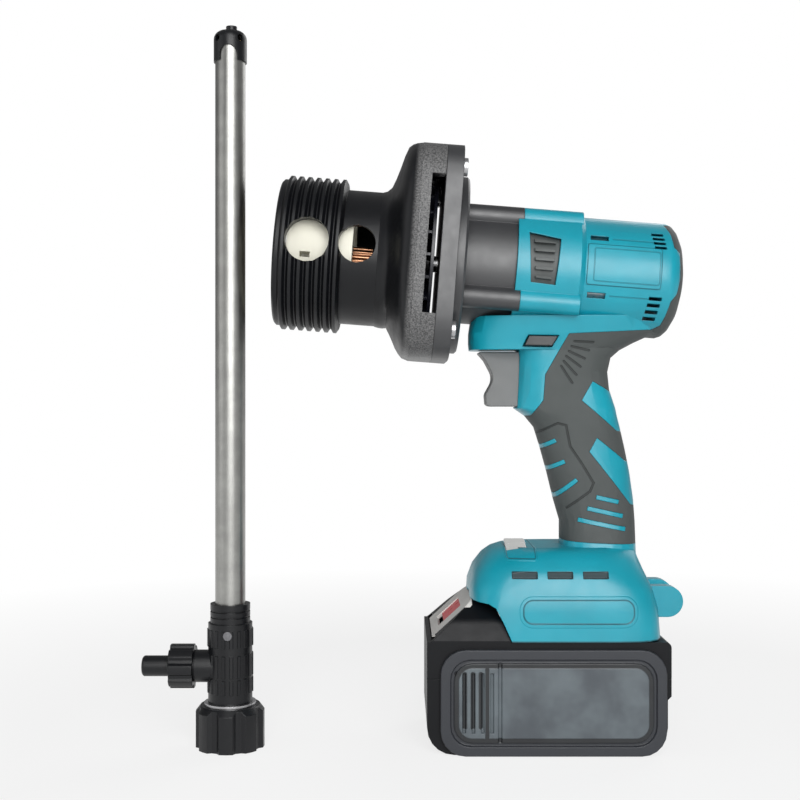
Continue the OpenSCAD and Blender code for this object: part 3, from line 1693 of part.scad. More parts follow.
module outlet_nut() {
    color(black) unit() branch_frame() difference() {
        translate([0, 0, outlet_nut_x[0]]) linear_extrude(outlet_nut_x[1] - outlet_nut_x[0])
            polygon(toothed(outlet_nut_r, outlet_nut_r + outlet_lobe, outlet_lobes, lobe_top_share));
        translate([0, 0, outlet_nut_x[0] - over]) cylinder(r = nipple_r + run_gap, h = spigot_flange[1] - outlet_nut_x[0] + over + seat_gap, $fn = round_fn);
        translate([0, 0, outlet_nut_x[0]]) cylinder(r = spigot_neck_r + run_gap, h = beyond, $fn = round_fn);
    }
}

ring_t = 1.2;
ring_w = 1.8;

module retaining_ring() {
    color(steel) unit() tube_ring(head_r + ring_w, head_r + fit, nut_h + seat_gap, nut_h + seat_gap + ring_t);
}

nut_lobe = 1.6;
nut_cone = 4.8;

module swivel_nut() {
    color(black) unit() difference() {
        intersection() {
            linear_extrude(nut_h) polygon(toothed(nut_r, nut_r + nut_lobe, nut_lobes, lobe_top_share));
            rotate_extrude($fn = round_fn) polygon([
                [0, 0], [nut_r + 2 * nut_lobe, 0], [nut_r + 2 * nut_lobe, nut_h - nut_cone],
                [head_r + 2 * ring_w, nut_h], [0, nut_h]
            ]);
        }
        translate([0, 0, -over]) cylinder(r = nut_bore, h = nut_thread_l + over, $fn = round_fn);
        cylinder(r = head_flange_r + seat_gap, h = nut_shoulder, $fn = round_fn);
        cylinder(r = head_r + run_gap, h = beyond, $fn = round_fn);
    }
}

module shaft_seal() {
    color(dark_grey) unit() tube_ring(head_bore - fit, pump_shaft_r + run_gap, head_flange[1] + 2 * over, head_flange[1] + seal_h);
}

seal_h = 6;
bush_h = 4;
bush_inset = 3;
bush_ring_t = 0.9;
bush_hub = 1.4;
spoke_t = 1.4;

module bush(z) {
    inner = tube_r - tube_wall;
    color(cream) unit() difference() {
        union() {
            translate([0, 0, z]) cylinder(r = pump_shaft_r + bush_hub, h = bush_h, $fn = small_fn);
            tube_ring(inner - seat_gap, inner - seat_gap - bush_ring_t, z, z + bush_h);
            for (a = [0, 120, 240])
                rotate([0, 0, a]) block([0, -spoke_t / 2, z], [inner - bush_ring_t / 2, spoke_t / 2, z + bush_h]);
        }
        translate([0, 0, z - over]) cylinder(r = pump_shaft_r + run_gap, h = bush_h + 2 * over, $fn = small_fn);
    }
}

module upper_bush() {
    bush(tube_high - bush_h - bush_inset);
}

module lower_bush() {
    bush(head_top + head_neck_h + bush_inset);
}

shaft_low = head_flange[0] + over;
shaft_high = tube_high + cap_room - 2 * free_gap;

module pump_shaft() {
    color(steel) unit() translate([0, 0, shaft_low]) cylinder(r = pump_shaft_r, h = shaft_high - shaft_low, $fn = small_fn);
}

impeller_r = 5.4;
impeller_h = 3.4;
impeller_blades = 4;
impeller_hub = 1.2;
impeller_blade_t = 0.8;
impeller_gap = 0.2;

module impeller() {
    z = tube_high + impeller_gap;
    color(brass) unit() difference() {
        union() {
            translate([0, 0, z]) cylinder(r = pump_shaft_r + impeller_hub, h = impeller_h, $fn = small_fn);
            for (i = [0 : impeller_blades - 1])
                rotate([0, 0, i * 360 / impeller_blades])
                    translate([0, 0, z + impeller_h / 2]) rotate([35, 0, 0])
                        block([pump_shaft_r, -impeller_blade_t / 2, -impeller_h / 2], [impeller_r, impeller_blade_t / 2, impeller_h / 2]);
        }
        translate([0, 0, z - over]) cylinder(r = pump_shaft_r + fit, h = impeller_h + 2 * over, $fn = small_fn);
    }
}

driven_r = 6;
driven_l = 3.4;
driven_slot_w = 2;

module driven_dog() {
    color(steel) unit() difference() {
        translate([0, 0, head_flange[0] + slide_gap]) cylinder(r = driven_r, h = driven_l, $fn = round_fn);
        translate([0, 0, head_flange[0] - over]) cylinder(r = pump_shaft_r + fit, h = driven_l + 3 * over, $fn = small_fn);
        block([-driven_r - over, -driven_slot_w / 2, head_flange[0]], [driven_r + over, driven_slot_w / 2, head_flange[0] + driven_l / 2]);
    }
}

function shown(name) = node == "all" || node == name;

if (shown("left_shell")) left_shell();
if (shown("right_shell")) right_shell();
if (shown("left_grip")) left_grip();
if (shown("right_grip")) right_grip();
if (shown("left_vent_insert")) left_vent_insert();
if (shown("right_vent_insert")) right_vent_insert();
if (shown("shell_screws")) shell_screws();
if (shown("nose_housing")) nose_housing();
if (shown("nose_screws")) nose_screws();
if (shown("drive_housing")) drive_housing();
if (shown("rear_plate")) rear_plate();
if (shown("plate_screws")) plate_screws();
if (shown("coupling_seat")) coupling_seat();
if (shown("motor_can")) motor_can();
if (shown("magnets")) magnets();
if (shown("brush_holder")) brush_holder();
if (shown("carbon_brushes")) carbon_brushes();
if (shown("rear_bearing")) rear_bearing();
if (shown("middle_bearing")) middle_bearing();
if (shown("front_bearing")) front_bearing();
if (shown("switch_body")) switch_body();
if (shown("control_board")) control_board();
if (shown("indicator_lens")) indicator_lens();
if (shown("terminal_block")) terminal_block();
if (shown("motor_leads")) motor_leads();
if (shown("motor_shaft")) motor_shaft();
if (shown("armature")) armature();
if (shown("commutator")) commutator();
if (shown("cooling_fan")) cooling_fan();
if (shown("drive_dog")) drive_dog();
if (shown("trigger")) trigger();
if (shown("trigger_spring")) trigger_spring();
if (shown("direction_selector")) direction_selector();
if (shown("battery_lower_case")) battery_lower_case();
if (shown("battery_upper_case")) battery_upper_case();
if (shown("left_side_panel")) left_side_panel();
if (shown("right_side_panel")) right_side_panel();
if (shown("battery_cells")) battery_cells();
if (shown("battery_board")) battery_board();
if (shown("battery_terminals")) battery_terminals();
if (shown("battery_screws")) battery_screws();
if (shown("latch_bezel")) latch_bezel();
if (shown("release_button")) release_button();
if (shown("latch_spring")) latch_spring();
if (shown("outer_tube")) outer_tube();
if (shown("foot_cap")) foot_cap();
if (shown("tee_body")) tee_body();
if (shown("tee_screw")) tee_screw();
if (shown("outlet_nut")) outlet_nut();
if (shown("hose_spigot")) hose_spigot();
if (shown("outlet_seal")) outlet_seal();
if (shown("retaining_ring")) retaining_ring();
if (shown("swivel_nut")) swivel_nut();
if (shown("shaft_seal")) shaft_seal();
if (shown("upper_bush")) upper_bush();
if (shown("lower_bush")) lower_bush();
if (shown("pump_shaft")) pump_shaft();
if (shown("impeller")) impeller();
if (shown("driven_dog")) driven_dog();
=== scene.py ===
"""Battery bucket pump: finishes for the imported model, with its stage and camera."""

import json
import math

import bmesh
import bpy
from bpy.props import FloatProperty, FloatVectorProperty, IntProperty, PointerProperty
from bpy.types import Operator, Panel, PropertyGroup
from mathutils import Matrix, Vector

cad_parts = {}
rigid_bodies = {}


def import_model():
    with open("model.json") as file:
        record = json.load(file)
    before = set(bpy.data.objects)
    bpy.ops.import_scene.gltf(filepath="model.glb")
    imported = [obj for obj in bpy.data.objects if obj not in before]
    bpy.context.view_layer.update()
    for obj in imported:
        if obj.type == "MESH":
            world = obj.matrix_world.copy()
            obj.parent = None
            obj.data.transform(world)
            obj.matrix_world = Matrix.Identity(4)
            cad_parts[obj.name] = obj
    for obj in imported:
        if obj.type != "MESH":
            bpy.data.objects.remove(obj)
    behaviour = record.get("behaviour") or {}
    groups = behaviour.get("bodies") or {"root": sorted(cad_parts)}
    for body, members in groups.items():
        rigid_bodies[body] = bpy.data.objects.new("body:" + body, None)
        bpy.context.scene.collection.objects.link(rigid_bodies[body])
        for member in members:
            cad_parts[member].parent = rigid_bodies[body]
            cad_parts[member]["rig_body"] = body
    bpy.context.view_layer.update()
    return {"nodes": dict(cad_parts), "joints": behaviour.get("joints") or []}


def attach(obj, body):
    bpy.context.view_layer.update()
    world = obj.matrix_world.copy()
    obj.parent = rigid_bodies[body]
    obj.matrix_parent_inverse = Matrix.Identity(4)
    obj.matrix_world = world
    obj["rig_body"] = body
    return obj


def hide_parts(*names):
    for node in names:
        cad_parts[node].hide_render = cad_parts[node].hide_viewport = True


bl_info = {
    "name": "Battery Bucket Pump",
    "version": (1, 0, 0),
    "blender": (4, 5, 0),
    "location": "View3D > Sidebar > Bucket Pump",
    "description": "Dresses a cordless bucket pump in plastic, rubber and metal",
    "category": "Object",
}

MM = 0.001

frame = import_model()
NODES = frame["nodes"]

# The motor's axis runs along the barrel, towards the rear.
SPIN = next(joint for joint in frame["joints"] if joint["name"] == "rotor_spin")
SPIN_AXIS = Vector(SPIN["axis"])
SPIN_HEIGHT = SPIN["pos_m"][2]


def mm(*lengths):
    """Millimetres as metres."""
    return tuple(length * MM for length in lengths)


# Marks on the mouldings, from the side view. A box is its centre, its half size and
# its corner radius, and a stroke is its two ends.

FOOT_TOP = 100 * MM
BARREL_LOW = 150 * MM
FOOT_PANEL = (mm(13.5, 66.2), mm(25.5, 5.4), 4.4 * MM)
FOOT_BADGE = (mm(-12.0, 92.5), mm(6.6, 2.9), 0.8 * MM)
# Slots in the foot; their insides are painted near black as shade
FOOT_SLOTS = [(mm(x, 82.7), mm(6.0, 1.7), 0.5 * MM) for x in (-11.15, 5.29, 21.79)]
# Height band just above the battery where painted shade darkens the shell's lower edge
# in the gap
FOOT_SEAM = mm(52.5, 53.3)
LABEL_RIM = (mm(36.0, 2.8), mm(17.4, 9.7), 1.4 * MM)
LABEL_PLATE = (mm(37.2, 2.8), mm(15.4, 7.9), 1.0 * MM)
BARREL_LINES = [(mm(30.5, up), mm(50.0, up)) for up in (15.6, -11.6)]
BELL_FRONT = mm(-65.5, -63.0)
FINGER_LINE = [
    mm(-3.8, 147.9),
    mm(6.3, 152.9),
    mm(10.3, 151.9),
    mm(12.3, 141.8),
    mm(17.7, 133.8),
    mm(23.4, 124.4),
    mm(21.7, 120.4),
    mm(11.0, 112.4),
]
FIRST_RIB = (mm(13.9, 191.9), mm(22.9, 191.5))
LAST_RIB = (mm(7.8, 180.2), mm(13.1, 172.2))
PANEL_FIELD = (mm(1.8, 24.5), mm(45.7, 18.1), 8.3 * MM)
PANEL_RIBS = [(mm(x, 13.5), mm(x, 38.0)) for x in (-42.9, -39.2, -35.5, -31.8)]
PANEL_WALL = (mm(-28.9, 7.5), mm(-28.9, 41.5))

# How deep the marks are, how wide, and how much painted shade darkens their lines,
# slots and seam

MARK_DEPTH = 0.45 * MM
PANEL_LIP = mm(0.9, 1.6)
BADGE_LIP = mm(0.4, 0.8)
FIELD_GROOVE = mm(-0.9, 2.2)
WIDTH = {
    "foot panel": 0.8 * MM,
    "badge": 0.5 * MM,
    "label": 0.5 * MM,
    "barrel line": 0.6 * MM,
    "grip line": 1.0 * MM,
    "panel rib": 2.0 * MM,
    "panel wall": 1.8 * MM,
}
PAINTED_SHADE = {
    "foot panel": 0.55,
    "badge": 0.5,
    "slot": 0.95,
    "seam": 0.8,
    "label": 0.45,
    "barrel line": 0.30,
    "grip line": 0.6,
    "battery panel": 0.9,
}

# Sizes of the patterns in the finishes

FLOW_SIZE = 28 * MM
HANDLING_SIZE = 6 * MM
STAIN_SIZE = 9 * MM
# Size of the clouds of painted sheen on the battery panel
CLOUD_SIZE = 22 * MM
BELL_GRAIN_SIZE = 0.7 * MM
# Metal lines to the metre, across them and along them
LINES_ACROSS = 900.0
LINES_ALONG = 18.0
METAL_EDGE = 0.2 * MM

# Limits for cleaning a node's mesh

WELD = 0.002 * MM
SLIVER = 0.001 * MM
FLAT_DEGREES = 0.4
NORMAL_WEIGHT = 60

# Colours inside the marks: painted shade in the grooves, slots and seams, the battery
# panel's rim, and colours that carry painted sheen

TEAL_SHADE = (0.002, 0.012, 0.016)
GRIP_SHADE = (0.008, 0.009, 0.009)
PANEL_SHADE = (0.003, 0.003, 0.004)
PANEL_RIM = (0.026, 0.029, 0.036)
# The field's darker colour between its clouds of painted sheen
PANEL_CLOUD = (0.05, 0.058, 0.07)
# The bell's dark and pale grains; the pale grains are also a painted sheen, far lighter
# than the black plastic
BELL_GRAIN_AND_SHEEN = ((0.045, 0.045, 0.047), (0.165, 0.165, 0.165))

# Colours that the sidebar leaves out

TRIGGER_GREY = (0.150, 0.155, 0.155)
WINDOW_WHITE = (0.78, 0.78, 0.76)
PANEL_GREY = (0.125, 0.150, 0.165)
BEZEL_WHITE = (0.72, 0.70, 0.67)
FAN_BLACK = (0.012, 0.013, 0.020)
BRIGHT_STEEL = (0.56, 0.56, 0.57)
SCREW_STEEL = (0.5, 0.5, 0.51)
DARK_STEEL = (0.2, 0.2, 0.21)
INNER_STEEL = (0.55, 0.55, 0.56)
ALUMINIUM = (0.35, 0.35, 0.335)
COPPER = (0.62, 0.32, 0.18)
BRASS = (0.70, 0.52, 0.24)
INNER_DARK = (0.03, 0.03, 0.033)
BOARD_GREEN = (0.02, 0.16, 0.06)
CELL_BLUE = (0.06, 0.18, 0.36)
SEAL_BLACK = (0.02, 0.02, 0.02)
BUSH_CREAM = (0.62, 0.58, 0.44)
LEAD_RED = (0.45, 0.02, 0.02)

# Stage

CAMERA_PLACE = mm(-69, -600, 164)
CAMERA_LENS = 55.1
CAMERA_SENSOR = 36
FLOOR_HALF = 6.0
LAMP_AIM = Vector((-0.05, 0.0, 0.17))
# Each lamp's name, place, size and power
LAMPS = (
    ("key", (0.12, -1.25, 0.52), (0.95, 0.75), 13.5),
    ("high", (-0.10, -0.85, 0.98), (0.6, 0.4), 2.2),
    ("left", (-1.10, -0.45, 0.40), (0.8, 0.8), 1.6),
    ("rear", (0.55, 0.85, 0.70), (0.7, 0.7), 3.0),
)
# World strength for every ray, and what seen and glossy rays add
WORLD_LIGHT = 0.12
WORLD_SEEN = 0.88
WORLD_GLOSSY = 0.14
# The floor's share of plain white by the object, and where it fades to all white
FLOOR_WHITE = 0.78
FADE_START = 0.25
FADE_RUN = 0.35


# Sizes and colours


class PumpColours(PropertyGroup):
    """Base colours of the moulded parts."""

    shell: FloatVectorProperty(
        name="Shell",
        description="Housing of the motor, handle and foot",
        subtype="COLOR",
        default=(0.004, 0.320, 0.420),
        min=0,
        max=1,
    )
    grip: FloatVectorProperty(
        name="Grip",
        description="Soft overmould of the handle and rear bumper",
        subtype="COLOR",
        default=(0.070, 0.079, 0.078),
        min=0,
        max=1,
    )
    gloss_black: FloatVectorProperty(
        name="Gloss black",
        description="Collar, neck and the pump tube's fittings",
        subtype="COLOR",
        default=(0.0035, 0.0040, 0.0055),
        min=0,
        max=1,
    )
    grained_black: FloatVectorProperty(
        name="Grained black",
        description="Grained faces of the drive housing, nose and battery",
        subtype="COLOR",
        default=(0.022, 0.023, 0.026),
        min=0,
        max=1,
    )
    seat: FloatVectorProperty(
        name="Coupling seat",
        description="Cream seat inside the collar",
        subtype="COLOR",
        default=(0.80, 0.78, 0.66),
        min=0,
        max=1,
    )
    button: FloatVectorProperty(
        name="Release button",
        description="Button that frees the battery",
        subtype="COLOR",
        default=(0.78, 0.035, 0.050),
        min=0,
        max=1,
    )


class PumpSizes(PropertyGroup):
    """Sizes of the finishing details."""

    edge: FloatProperty(
        name="Edge rounding",
        description="Radius of the moulded edges",
        subtype="DISTANCE",
        unit="LENGTH",
        default=0.35 * MM,
        min=0,
        max=2 * MM,
    )
    grain: FloatProperty(
        name="Grain",
        description="Size of the spark grain on the moulded faces",
        subtype="DISTANCE",
        unit="LENGTH",
        default=0.55 * MM,
        min=0.1 * MM,
        max=3 * MM,
    )
    rib_count: IntProperty(
        name="Grip ribs",
        description="Number of fine ribs in the patch behind the trigger",
        default=6,
        min=3,
        max=12,
    )


# Shader maths


class Wire:
    """An output socket that can be used in sums."""

    def __init__(self, tree, socket):
        self.tree = tree
        self.socket = socket

    def math(self, operation, *terms):
        node = self.tree.nodes.new("ShaderNodeMath")
        node.operation = operation
        for place, term in zip(node.inputs, terms, strict=False):
            feed(self.tree, term, place)
        return Wire(self.tree, node.outputs[0])

    def __add__(self, other):
        return self.math("ADD", self, other)

    def __radd__(self, other):
        return self.math("ADD", other, self)

    def __sub__(self, other):
        return self.math("SUBTRACT", self, other)

    def __rsub__(self, other):
        return self.math("SUBTRACT", other, self)

    def __mul__(self, other):
        return self.math("MULTIPLY", self, other)

    def __rmul__(self, other):
        return self.math("MULTIPLY", other, self)

    def __truediv__(self, other):
        return self.math("DIVIDE", self, other)

    def __rtruediv__(self, other):
        return self.math("DIVIDE", other, self)

    def __pow__(self, other):
        return self.math("POWER", self, other)

    def __abs__(self):
        return self.math("ABSOLUTE", self)

    def least(self, other):
        return self.math("MINIMUM", self, other)

    def most(self, other):
        return self.math("MAXIMUM", self, other)

    def above(self, other):
        return self.math("GREATER_THAN", self, other)

    def clamped(self):
        return self.math("MINIMUM", self.math("MAXIMUM", self, 0.0), 1.0)


def feed(tree, value, socket):
    if isinstance(value, Wire):
        tree.links.new(value.socket, socket)
    else:
        socket.default_value = value


class Finish:
    """A material under construction, with its shader."""

    def __init__(self, name, **sockets):
        self.material = bpy.data.materials.new(name)
        self.material.use_nodes = True
        self.tree = self.material.node_tree
        self.tree.nodes.clear()
        self.shader = self.tree.nodes.new("ShaderNodeBsdfPrincipled")
        output = self.tree.nodes.new("ShaderNodeOutputMaterial")
        self.tree.links.new(self.shader.outputs[0], output.inputs["Surface"])
        self.set(**sockets)

    def set(self, **sockets):
        for name, value in sockets.items():
            feed(self.tree, value, self.shader.inputs[name.replace("_", " ")])

    def add(self, kind, settings=None, sockets=None, out=0):
        """Adds one node, sets it, feeds its sockets and returns one of its outputs."""
        node = self.tree.nodes.new(kind)
        for name, value in (settings or {}).items():
            setattr(node, name, value)
        for name, value in (sockets or {}).items():
            feed(self.tree, value, node.inputs[name])
        return Wire(self.tree, node.outputs[out])

    def place(self):
        return self.add("ShaderNodeTexCoord", out="Object")

    def axes(self, vector):
        node = self.tree.nodes.new("ShaderNodeSeparateXYZ")
        feed(self.tree, vector, node.inputs[0])
        return [Wire(self.tree, socket) for socket in node.outputs]

    def stretched(self, x, y, z):
        """Object coordinates with each axis multiplied."""
        return self.add(
            "ShaderNodeMapping",
            sockets={"Vector": self.place(), "Scale": (x, y, z)},
        )

    def noise(self, size, detail=2.0, rough=0.5, vector=None):
        return self.add(
            "ShaderNodeTexNoise",
            sockets={
                "Vector": self.place() if vector is None else vector,
                "Scale": 1 / size,
                "Detail": detail,
                "Roughness": rough,
            },
        )

    def mixed(self, amount, first, second):
        """A colour between two colours."""
        node = self.tree.nodes.new("ShaderNodeMix")
        node.data_type = "RGBA"
        feed(self.tree, amount, node.inputs[0])
        feed(self.tree, first, node.inputs[6])
        feed(self.tree, second, node.inputs[7])
        return Wire(self.tree, node.outputs[2])

    def ranged(self, value, low, high, to_low=0.0, to_high=1.0, smooth=True):
        return self.add(
            "ShaderNodeMapRange",
            {"interpolation_type": "SMOOTHSTEP" if smooth else "LINEAR"},
            {
                "Value": value,
                "From Min": low,
                "From Max": high,
                "To Min": to_low,
                "To Max": to_high,
            },
        )

    def outline(self, across, up, box):
        """Distance from a rounded box in two coordinates, negative inside it."""
        centre, half, radius = box
        side = abs(across - centre[0]) - (half[0] - radius)
        top = abs(up - centre[1]) - (half[1] - radius)
        outside = side.most(0.0) ** 2.0 + top.most(0.0) ** 2.0
        return outside**0.5 + side.most(top).least(0.0) - radius

    def stroke(self, across, up, ends):
        """Distance from a straight stroke between two points."""
        start, end = ends
        run = (end[0] - start[0], end[1] - start[1])
        right = across - start[0]
        rise = up - start[1]
        reach = (right * run[0] + rise * run[1]) / (run[0] ** 2 + run[1] ** 2)
        share = reach.clamped()
        aside = right - share * run[0]
        above = rise - share * run[1]
        return (aside**2.0 + above**2.0) ** 0.5

    def line(self, distance, width):
        """A soft line where a distance is near zero."""
        return self.ranged(abs(distance), 0.35 * width, 0.65 * width, 1.0, 0.0)

    def strokes(self, across, up, strokes, width):
        """Soft lines along all of the strokes."""
        lines = [self.line(self.stroke(across, up, ends), width) for ends in strokes]
        joined = lines[0]
        for line in lines[1:]:
            joined = joined.most(line)
        return joined

    def side_place(self):
        """Places along and up in the side view."""
        x, _, z = self.axes(self.place())
        return x, z

    def barrel_place(self):
        """Places along the motor's axis and up from it."""
        x, z = self.side_place()
        rise = z - SPIN_HEIGHT
        return (
            x * SPIN_AXIS.x + rise * SPIN_AXIS.z,
            rise * SPIN_AXIS.x - x * SPIN_AXIS.z,
        )

    def rounded(self, radius):
        """Normal of the surface with its edges rounded."""
        return self.add("ShaderNodeBevel", {"samples": 4}, {"Radius": radius})

    def raised(self, height, depth, normal):
        """Normal with relief, where height runs from 0 to 1 over depth metres."""
        return self.add(
            "ShaderNodeBump",
            sockets={"Height": height, "Distance": depth, "Normal": normal},
        )


def opaque(colour):
    return (*colour, 1.0)


def shade(colour, factor):
    return tuple(min(1.0, c * factor) for c in colour)


def moulded(
    name,
    colour,
    rough,
    grain=0.0,
    grain_size=None,
    edge=0.4 * MM,
    mottle=0.06,
    specular=0.5,
    marks=None,
):
    """Injection-moulded plastic: fine grain, faint flow marks and soft edges.

    Marks, where given, takes the finish and its paint, and returns the marked paint
    and the height of the marks from 0 to 1.
    """
    finish = Finish(name, Specular_IOR_Level=specular)
    flow = finish.noise(FLOW_SIZE, 3.0, 0.55)
    handling = finish.noise(HANDLING_SIZE, 4.0, 0.6)
    paint = finish.mixed(
        finish.ranged(flow, 0.3, 0.7),
        opaque(shade(colour, 1 - mottle)),
        opaque(shade(colour, 1 + mottle)),
    )
    normal = finish.rounded(edge)
    if marks:
        paint, height = marks(finish, paint)
        normal = finish.raised(height, MARK_DEPTH, normal)
    if grain:
        size = grain_size or bpy.context.scene.pump_sizes.grain
        normal = finish.raised(finish.noise(size, 2.0, 0.6), grain, normal)
    finish.set(
        Base_Color=paint,
        Roughness=finish.ranged(
            handling, 0.25, 0.75, rough - 0.05, rough + 0.06, smooth=False
        ),
        Normal=normal,
    )
    return finish


def shell_marks(finish, paint):
    """Lines on the foot and the barrel, the lip of the foot's panel, and painted shade
    in the lines, the slots and the seam above the battery.
    """
    x, z = finish.side_place()
    on_foot = 1.0 - z.above(FOOT_TOP)
    panel = finish.outline(x, z, FOOT_PANEL)
    badge = finish.outline(x, z, FOOT_BADGE)
    lip = finish.line(panel - PANEL_LIP[0], PANEL_LIP[1])
    lip = lip.most(finish.line(badge - BADGE_LIP[0], BADGE_LIP[1])) * on_foot
    # Painted shade: dark lines round the foot's panel and badge, along their lips.
    dark = finish.line(panel, WIDTH["foot panel"]) * on_foot * PAINTED_SHADE["foot panel"]
    dark = dark.most(finish.line(badge, WIDTH["badge"]) * on_foot * PAINTED_SHADE["badge"])
    # Painted shade: the shell darkens towards its lower edge, in the gap above the
    # battery.
    dark = dark.most(finish.ranged(z, *FOOT_SEAM, PAINTED_SHADE["seam"], 0.0))
    # Painted shade: the insides of the foot's slots are painted near black.
    for box in FOOT_SLOTS:
        slot = finish.outline(x, z, box)
        dark = dark.most(finish.ranged(slot, -0.1 * MM, 0.1 * MM, PAINTED_SHADE["slot"], 0.0))

    on_barrel = z.above(BARREL_LOW)
    along, up = finish.barrel_place()
    rim = finish.line(finish.outline(along, up, LABEL_RIM), WIDTH["label"])
    groove = finish.line(finish.outline(along, up, LABEL_PLATE), WIDTH["label"])
    groove = groove.most(
        finish.strokes(along, up, BARREL_LINES, WIDTH["barrel line"])
    )
    groove = groove * on_barrel
    # Painted shade: a dark line round the label pad's raised edge and in the barrel's
    # grooves.
    dark = dark.most(rim * on_barrel * PAINTED_SHADE["label"])
    dark = dark.most(groove * PAINTED_SHADE["barrel line"])
    paint = finish.mixed(dark, paint, opaque(TEAL_SHADE))
    return paint, lip * 0.5 + 0.5 - groove * 0.5


def bell_marks(finish, paint):
    """Spark grain on the bell, its pale grains also a painted sheen, and plain gloss on
    the neck and collar.
    """
    along, _ = finish.barrel_place()
    bell = finish.ranged(along, *BELL_FRONT)
    grains = finish.noise(BELL_GRAIN_SIZE, 2.0, 0.6)
    dark, pale = (opaque(colour) for colour in BELL_GRAIN_AND_SHEEN)
    # Painted sheen: the pale grains brighten the bell as its broad highlight would.
    grey = finish.mixed(finish.ranged(grains, 0.3, 0.7), dark, pale)
    return finish.mixed(bell, paint, grey), grains * bell * 0.35


def grip_marks(finish, paint):
    """The fine ribs behind the trigger and the line round the finger panel, with
    painted shade in their grooves.
    """
    x, z = finish.side_place()
    strokes = list(zip(FINGER_LINE, FINGER_LINE[1:], strict=False))
    last = bpy.context.scene.pump_sizes.rib_count - 1
    for index in range(last + 1):
        strokes.append(
            [
                Vector(first).lerp(Vector(final), index / last)
                for first, final in zip(FIRST_RIB, LAST_RIB, strict=True)
            ]
        )
    groove = finish.strokes(x, z, strokes, WIDTH["grip line"])
    # Painted shade: the grip's grooves are painted darker.
    paint = finish.mixed(groove * PAINTED_SHADE["grip line"], paint, opaque(GRIP_SHADE))
    return paint, 1.0 - groove


def panel_marks(finish, paint):
    """A dark frame round the battery panel's paler field, painted shade in its black
    grooves, and clouds of painted sheen on the field.
    """
    x, z = finish.side_place()
    edge = finish.outline(x, z, PANEL_FIELD)
    field = finish.ranged(edge, -0.3 * MM, 0.3 * MM, 1.0, 0.0)
    # Painted sheen: random paler clouds on the field stand in for its cloudy
    # highlights.
    mottle = finish.noise(CLOUD_SIZE, 3.0, 0.6)
    sheen_cloud = finish.ranged(mottle, 0.3, 0.75, 0.25, 1.0)
    paint = finish.mixed(sheen_cloud, opaque(PANEL_CLOUD), paint)
    paint = finish.mixed(field, opaque(PANEL_RIM), paint)
    groove = finish.line(edge - FIELD_GROOVE[0], FIELD_GROOVE[1])
    groove = groove.most(finish.strokes(x, z, PANEL_RIBS, WIDTH["panel rib"]))
    groove = groove.most(finish.strokes(x, z, [PANEL_WALL], WIDTH["panel wall"]))
    # Painted shade: the grooves, the ribs and the wall line are painted near black.
    paint = finish.mixed(groove * PAINTED_SHADE["battery panel"], paint, opaque(PANEL_SHADE))
    return paint, 1.0 - groove * 0.5


def metal(name, colour, rough, scratch=0.02 * MM):
    """Drawn or turned metal with fine upright lines."""
    finish = Finish(name, Metallic=1.0)
    place = finish.stretched(LINES_ACROSS, LINES_ACROSS, LINES_ALONG)
    lines = finish.noise(1.0, 3.0, 0.6, place)
    stain = finish.noise(STAIN_SIZE, 4.0, 0.6)
    finish.set(
        Base_Color=finish.mixed(
            finish.ranged(stain, 0.35, 0.7),
            opaque(shade(colour, 0.88)),
            opaque(shade(colour, 1.06)),
        ),
        Roughness=finish.ranged(
            lines, 0.3, 0.7, rough - 0.06, rough + 0.08, smooth=False
        ),
        Normal=finish.raised(lines, scratch, finish.rounded(METAL_EDGE)),
    )
    return finish


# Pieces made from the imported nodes


def merged_mesh(name):
    """A copy of a node's mesh with its loose triangles joined and flats cleaned."""
    mesh = NODES[name].data.copy()
    if "custom_normal" in mesh.attributes:
        mesh.attributes.remove(mesh.attributes["custom_normal"])
    work = bmesh.new()
    work.from_mesh(mesh)
    bmesh.ops.remove_doubles(work, verts=work.verts, dist=WELD)
    bmesh.ops.dissolve_degenerate(work, edges=work.edges, dist=SLIVER)
    flat = math.radians(FLAT_DEGREES)
    bmesh.ops.dissolve_limit(
        work, angle_limit=flat, verts=work.verts, edges=work.edges
    )
    return mesh, work


def smooth_under(work, degrees):
    limit = math.radians(degrees)
    for face in work.faces:
        face.smooth = True
    for edge in work.edges:
        edge.smooth = len(edge.link_faces) == 2 and edge.calc_face_angle(0) < limit


def dress(node, finish, degrees=30, bevel=0.0, segments=2):
    """Stands a smooth, softly edged copy in a node's place."""
    mesh, work = merged_mesh(node)
    smooth_under(work, degrees)
    work.to_mesh(mesh)
    work.free()
    mesh.materials.clear()
    mesh.materials.append(finish.material)
    piece = bpy.data.objects.new(node + "_finished", mesh)
    bpy.context.scene.collection.objects.link(piece)
    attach(piece, NODES[node]["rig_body"])
    if bevel:
        rounding = piece.modifiers.new("Edges", "BEVEL")
        rounding.width = bevel
        rounding.segments = segments
        rounding.limit_method = "ANGLE"
        rounding.angle_limit = math.radians(degrees)
        rounding.harden_normals = True
        rounding.use_clamp_overlap = True
    weighting = piece.modifiers.new("Normals", "WEIGHTED_NORMAL")
    weighting.keep_sharp = True
    weighting.weight = NORMAL_WEIGHT
    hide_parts(node)


def recolour(node, finish):
    """Gives a hidden node its finish and leaves its shape alone."""
    materials = NODES[node].data.materials
    if len(materials):
        for index in range(len(materials)):
            materials[index] = finish.material
    else:
        materials.append(finish.material)


# Operators


